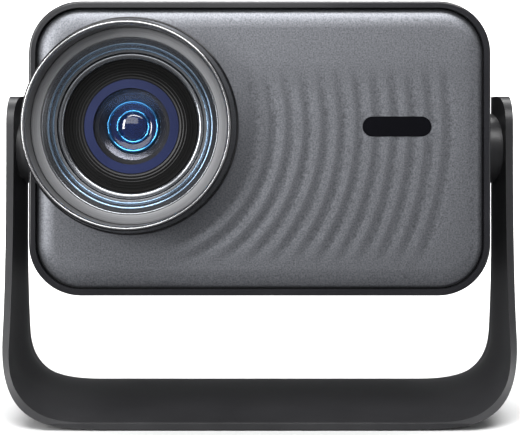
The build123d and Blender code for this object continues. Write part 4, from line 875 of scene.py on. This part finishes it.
@dataclass
class FrontPanel:
    """The inset front plate with its soft edge and its arcs of shallow ripples."""

    corner: float = 18.85 * MM
    pillow_width: float = 9.0 * MM
    pillow_depth: float = 3.0 * MM
    pillow_steps: int = 9
    proud: float = 0.03 * MM
    first_ripple: float = 51.8 * MM
    ripple_pitch: float = 7.35 * MM
    ripple_count: int = 12
    ripple_depth: float = 0.45 * MM
    drop_width: float = 0.7 * MM
    crest_margin: float = 0.1 * MM
    end_margin: float = 1.0 * MM
    fade_top: tuple[float, float] = (22.0 * MM, 15.0 * MM)
    fade_bottom: tuple[float, float] = (9.0 * MM, 14.0 * MM)
    fade_right: tuple[float, float] = (3.5 * MM, 4.0 * MM)
    fade_left: tuple[float, float] = (12.0 * MM, 20.0 * MM)
    hole_inset: float = 6.9 * MM
    reach: float = 175.0 * MM
    window_gap: float = 0.1 * MM
    window_depth: float = 8.0 * MM
    passes: int = 24
    spokes: int = 600

    def __post_init__(self) -> None:
        """Reads the panel's place and the lens axis from the frame."""
        self.low, self.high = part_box("front_panel")
        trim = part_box("lens_trim_ring")
        self.axis: Vector = (trim[0] + trim[1]) / 2
        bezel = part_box("lens_bezel")
        self.hole: float = (bezel[1].x - bezel[0].x) / 2 - self.hole_inset

    def build(self) -> None:
        """Builds and dresses the panel."""
        face = self.rippled_disc()
        cut_with(face, self.soft_block(), "INTERSECT")
        cut_with(face, self.window_tool(), "DIFFERENCE")
        make_active(face)
        bpy.ops.object.shade_smooth_by_angle(angle=math.radians(60))
        settle(face, Body.HEAD, PANEL_METAL, ["front_panel"])

    def rippled_disc(self) -> Object:
        """A thick disc about the lens axis whose front is pressed into ripples.

        Returns:
            The disc.
        """
        front, back = self.low.y, self.high.y
        outline: Outline = [(self.hole, back), (self.hole, front)]
        for index in range(self.ripple_count):
            crest = self.first_ripple + index * self.ripple_pitch
            outline += [(crest, front), (crest + self.drop_width, front)]
            outline += [(crest + self.ripple_pitch * share, front) for share in (0.4, 0.7)]
        outline += [(self.reach, front), (self.reach, back)]
        disc = Lathe(self.axis, self.spokes).turn("front_panel_rippled", outline)
        self.press_ripples(disc)
        return disc

    def trough(self, place: Vector) -> float:
        """How deep the front is pressed at a place, as a share of the ripples' depth.

        Args:
            place: A point on the panel's front.

        Returns:
            Share from 0 to 1.
        """
        out = math.hypot(place.x - self.axis.x, place.z - self.axis.z) - self.first_ripple
        if out < self.crest_margin or out > self.ripple_count * self.ripple_pitch - self.end_margin:
            return 0.0
        along = (out % self.ripple_pitch) / self.ripple_pitch
        edge = self.drop_width / self.ripple_pitch
        if along < edge * 0.5 or along > 0.99:
            return 0.0
        slope = 1.0 - (along - edge) / (1.0 - edge)
        return min(1.0, slope) * self.fade(place)

    def fade(self, place: Vector) -> float:
        """Share of the ripples' depth that is left near the panel's edges."""
        distances = (
            (self.high.z - place.z, self.fade_top), (place.z - self.low.z, self.fade_bottom),
            (self.high.x - place.x, self.fade_right), (place.x - self.axis.x, self.fade_left),
        )
        share = min((distance - start) / length for distance, (start, length) in distances)
        share = max(0.0, min(1.0, share))
        return share * share * (3.0 - 2.0 * share)

    def press_ripples(self, disc: Object) -> None:
        """Presses the troughs in several passes, each a little smaller than the last.

        Args:
            disc: The flat disc.
        """
        make_active(disc)
        front = self.low.y
        shares = {}
        for vertex in disc.data.vertices:
            if vertex.co.y < front + TOUCH:
                shares[vertex.index] = self.trough(vertex.co)
        for step in range(self.passes):
            wanted = (step + 0.5) / self.passes
            leave_edit_mode()
            for part in (disc.data.polygons, disc.data.edges, disc.data.vertices):
                part.foreach_set("select", [False] * len(part))
            for index, share in shares.items():
                disc.data.vertices[index].select = share > wanted
            bpy.ops.object.mode_set(mode="EDIT")
            bpy.ops.mesh.select_mode(type="VERT")
            bpy.ops.transform.translate(value=(0.0, self.ripple_depth / self.passes, 0.0))
        leave_edit_mode()

    def soft_block(self) -> Object:
        """A block of the panel's outline with round corners and a soft front edge.

        Returns:
            The block.
        """
        deselect_everything()
        front = self.low.y - self.proud
        size = self.high - self.low
        size.y = self.high.y - front + 1.0 * MM
        middle = (self.low + self.high) / 2
        middle.y = front + size.y / 2
        bpy.ops.mesh.primitive_cube_add(size=1.0, location=middle, scale=size)
        block = named_new("panel_block")
        pick_edges(block, lambda a, b: abs(a.y - b.y) > MM)
        bpy.ops.mesh.bevel(offset=self.corner, segments=20, affect="EDGES")
        self.raise_pillow(block, front)
        return block

    def raise_pillow(self, block: Object, front: float) -> None:
        """Rounds the block's front by insetting its face and raising it, ring after ring.

        Args:
            block: The block.
            front: Where its front face ends up.
        """
        pick_edges(block, lambda a, b: max(a.y, b.y) < front + TOUCH)
        bpy.ops.transform.translate(value=(0.0, self.pillow_depth, 0.0))
        bpy.ops.mesh.select_mode(type="FACE")
        turns = [math.pi / 2 * step / self.pillow_steps for step in range(self.pillow_steps + 1)]
        for turn, next_turn in zip(turns, turns[1:]):
            width = self.pillow_width * (math.cos(turn) - math.cos(next_turn))
            rise = self.pillow_depth * (math.sin(next_turn) - math.sin(turn))
            bpy.ops.mesh.inset(thickness=width, depth=0.0)
            bpy.ops.transform.translate(value=(0.0, -rise, 0.0))
        leave_edit_mode()

    def window_tool(self) -> Object:
        """The pill-shaped tool that cuts the sensor window's seat.

        Returns:
            The tool.
        """
        low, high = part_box("sensor_window")
        deselect_everything()
        across, tall = (value + 2 * self.window_gap for value in (high.x - low.x, high.z - low.z))
        size = Vector((across, self.window_depth, tall))
        bpy.ops.mesh.primitive_cube_add(size=1.0, location=(low + high) / 2, scale=size)
        tool = named_new("window_tool")
        pick_edges(tool, lambda a, b: abs(a.y - b.y) > MM)
        bpy.ops.mesh.bevel(offset=size.z / 2 * 0.999, segments=14, affect="EDGES")
        leave_edit_mode()
        return tool


@dataclass(frozen=True)
class SoftBox:
    """A rectangular soft light that faces a target."""

    name: str
    place: tuple[float, float, float]
    size: tuple[float, float]
    watts: float
    target: tuple[float, float, float] = (0.0, 0.0, 0.12)

    def hang(self) -> None:
        """Makes the light and puts it in the scene."""
        data = bpy.data.lights.new(self.name, "AREA")
        data.shape = "RECTANGLE"
        data.size, data.size_y = self.size
        data.energy = self.watts
        light = bpy.data.objects.new(self.name, data)
        light.location = self.place
        aim = Vector(self.target) - Vector(self.place)
        light.rotation_euler = aim.to_track_quat("-Z", "Y").to_euler()
        bpy.context.scene.collection.objects.link(light)


SOFT_BOXES = (
    SoftBox("top_box", (0.0, -0.40, 0.52), (0.60, 0.22), 4.2, (0.0, -0.06, 0.14)),
    SoftBox("front_box", (-0.20, -0.92, 0.44), (0.6, 0.35), 1.5, (0.0, -0.06, 0.12)),
    SoftBox("left_strip", (-0.50, -0.66, 0.24), (0.12, 0.40), 3.4),
    SoftBox("right_strip", (0.52, -0.30, 0.06), (0.14, 0.35), 0.3),
    SoftBox("backdrop_box", (0.0, 0.35, 1.1), (1.6, 0.5), 30.0, (0.0, 1.1, 0.2)),
    SoftBox("wall_box", (0.0, 1.3, 1.2), (2.2, 0.5), 70.0, (0.0, 2.5, 0.1)),
)


@dataclass
class Studio:
    """Camera, soft lights and pale floor."""

    floor_size: float = 6.0
    floor_shift: float = -0.5
    wall_height: float = 2.0
    cove: float = 0.3
    cove_steps: int = 16
    focal_mm: float = 98.2
    distance: float = 596.0 * MM
    raise_view: float = -0.1329
    slide_view: float = 0.0007
    sky: float = 0.14

    def build(self) -> None:
        """Sets up the camera, the lights and the floor."""
        self.place_camera()
        self.lay_floor()
        self.hang_lights()

    def place_camera(self) -> None:
        """Puts the camera level in front of the lens side."""
        low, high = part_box("housing_shell")
        data = bpy.data.cameras.new("camera")
        data.lens = self.focal_mm
        data.sensor_width = 36.0
        data.shift_x = self.slide_view
        data.shift_y = self.raise_view
        data.clip_start, data.clip_end = 0.01, 20.0
        camera = bpy.data.objects.new("camera", data)
        camera.location = (0.0, low.y - self.distance, (low.z + high.z) / 2)
        camera.rotation_euler = (math.pi / 2, 0.0, 0.0)
        bpy.context.scene.collection.objects.link(camera)
        bpy.context.scene.camera = camera

    def lay_floor(self) -> None:
        """Makes a pale floor that curves up behind the object into a wall."""
        deselect_everything()
        bpy.ops.mesh.primitive_plane_add(size=self.floor_size, location=(0.0, self.floor_shift, 0.0))
        floor = named_new("studio_floor")
        wall = self.floor_shift + self.floor_size / 2 - TOUCH
        pick_edges(floor, lambda a, b: min(a.y, b.y) > wall)
        bpy.ops.mesh.extrude_region_move(TRANSFORM_OT_translate={"value": (0.0, 0.0, self.wall_height)})
        pick_edges(floor, lambda a, b: min(a.y, b.y) > wall and max(a.z, b.z) < TOUCH)
        bpy.ops.mesh.bevel(offset=self.cove, segments=self.cove_steps, affect="EDGES")
        leave_edit_mode()
        bpy.ops.object.shade_smooth_by_angle(angle=math.radians(30))
        pale = Finish(
            "studio_pale", (0.88, 0.88, 0.88), 0.9, grain_mm=4.0, grain_depth_mm=0.01, variation=0.01
        )
        dress(floor, pale)
        floor.visible_glossy = False

    def hang_lights(self) -> None:
        """Hangs the soft boxes and sets the even background light."""
        world = bpy.data.worlds.new("studio_world")
        world.use_nodes = True
        background = world.node_tree.nodes["Background"]
        background.inputs["Color"].default_value = (0.95, 0.97, 1.0, 1.0)
        background.inputs["Strength"].default_value = self.sky
        bpy.context.scene.world = world
        bpy.context.scene.view_settings.view_transform = "Standard"
        for box in SOFT_BOXES:
            box.hang()


def dress_carried_over(frame: dict) -> None:
    """Gives every CAD node that still shows its own finish.
    """
    made: dict[str, Material] = {}
    for name, node in frame["nodes"].items():
        finish = CARRIED_OVER[name]
        if finish.name not in made:
            made[finish.name] = finish.material()
        for place in node.material_slots:
            place.material = made[finish.name]
        LOG.info("%s: finished as %s", name, finish.name)


def main() -> None:
    """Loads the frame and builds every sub-assembly."""
    logging.basicConfig(level=logging.INFO, format="%(name)s %(message)s")
    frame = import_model()
    Studio().build()
    dress_carried_over(frame)
    FrontPanel().build()
    LensGroup().build()
    deselect_everything()


if __name__ == "__main__":
    main()
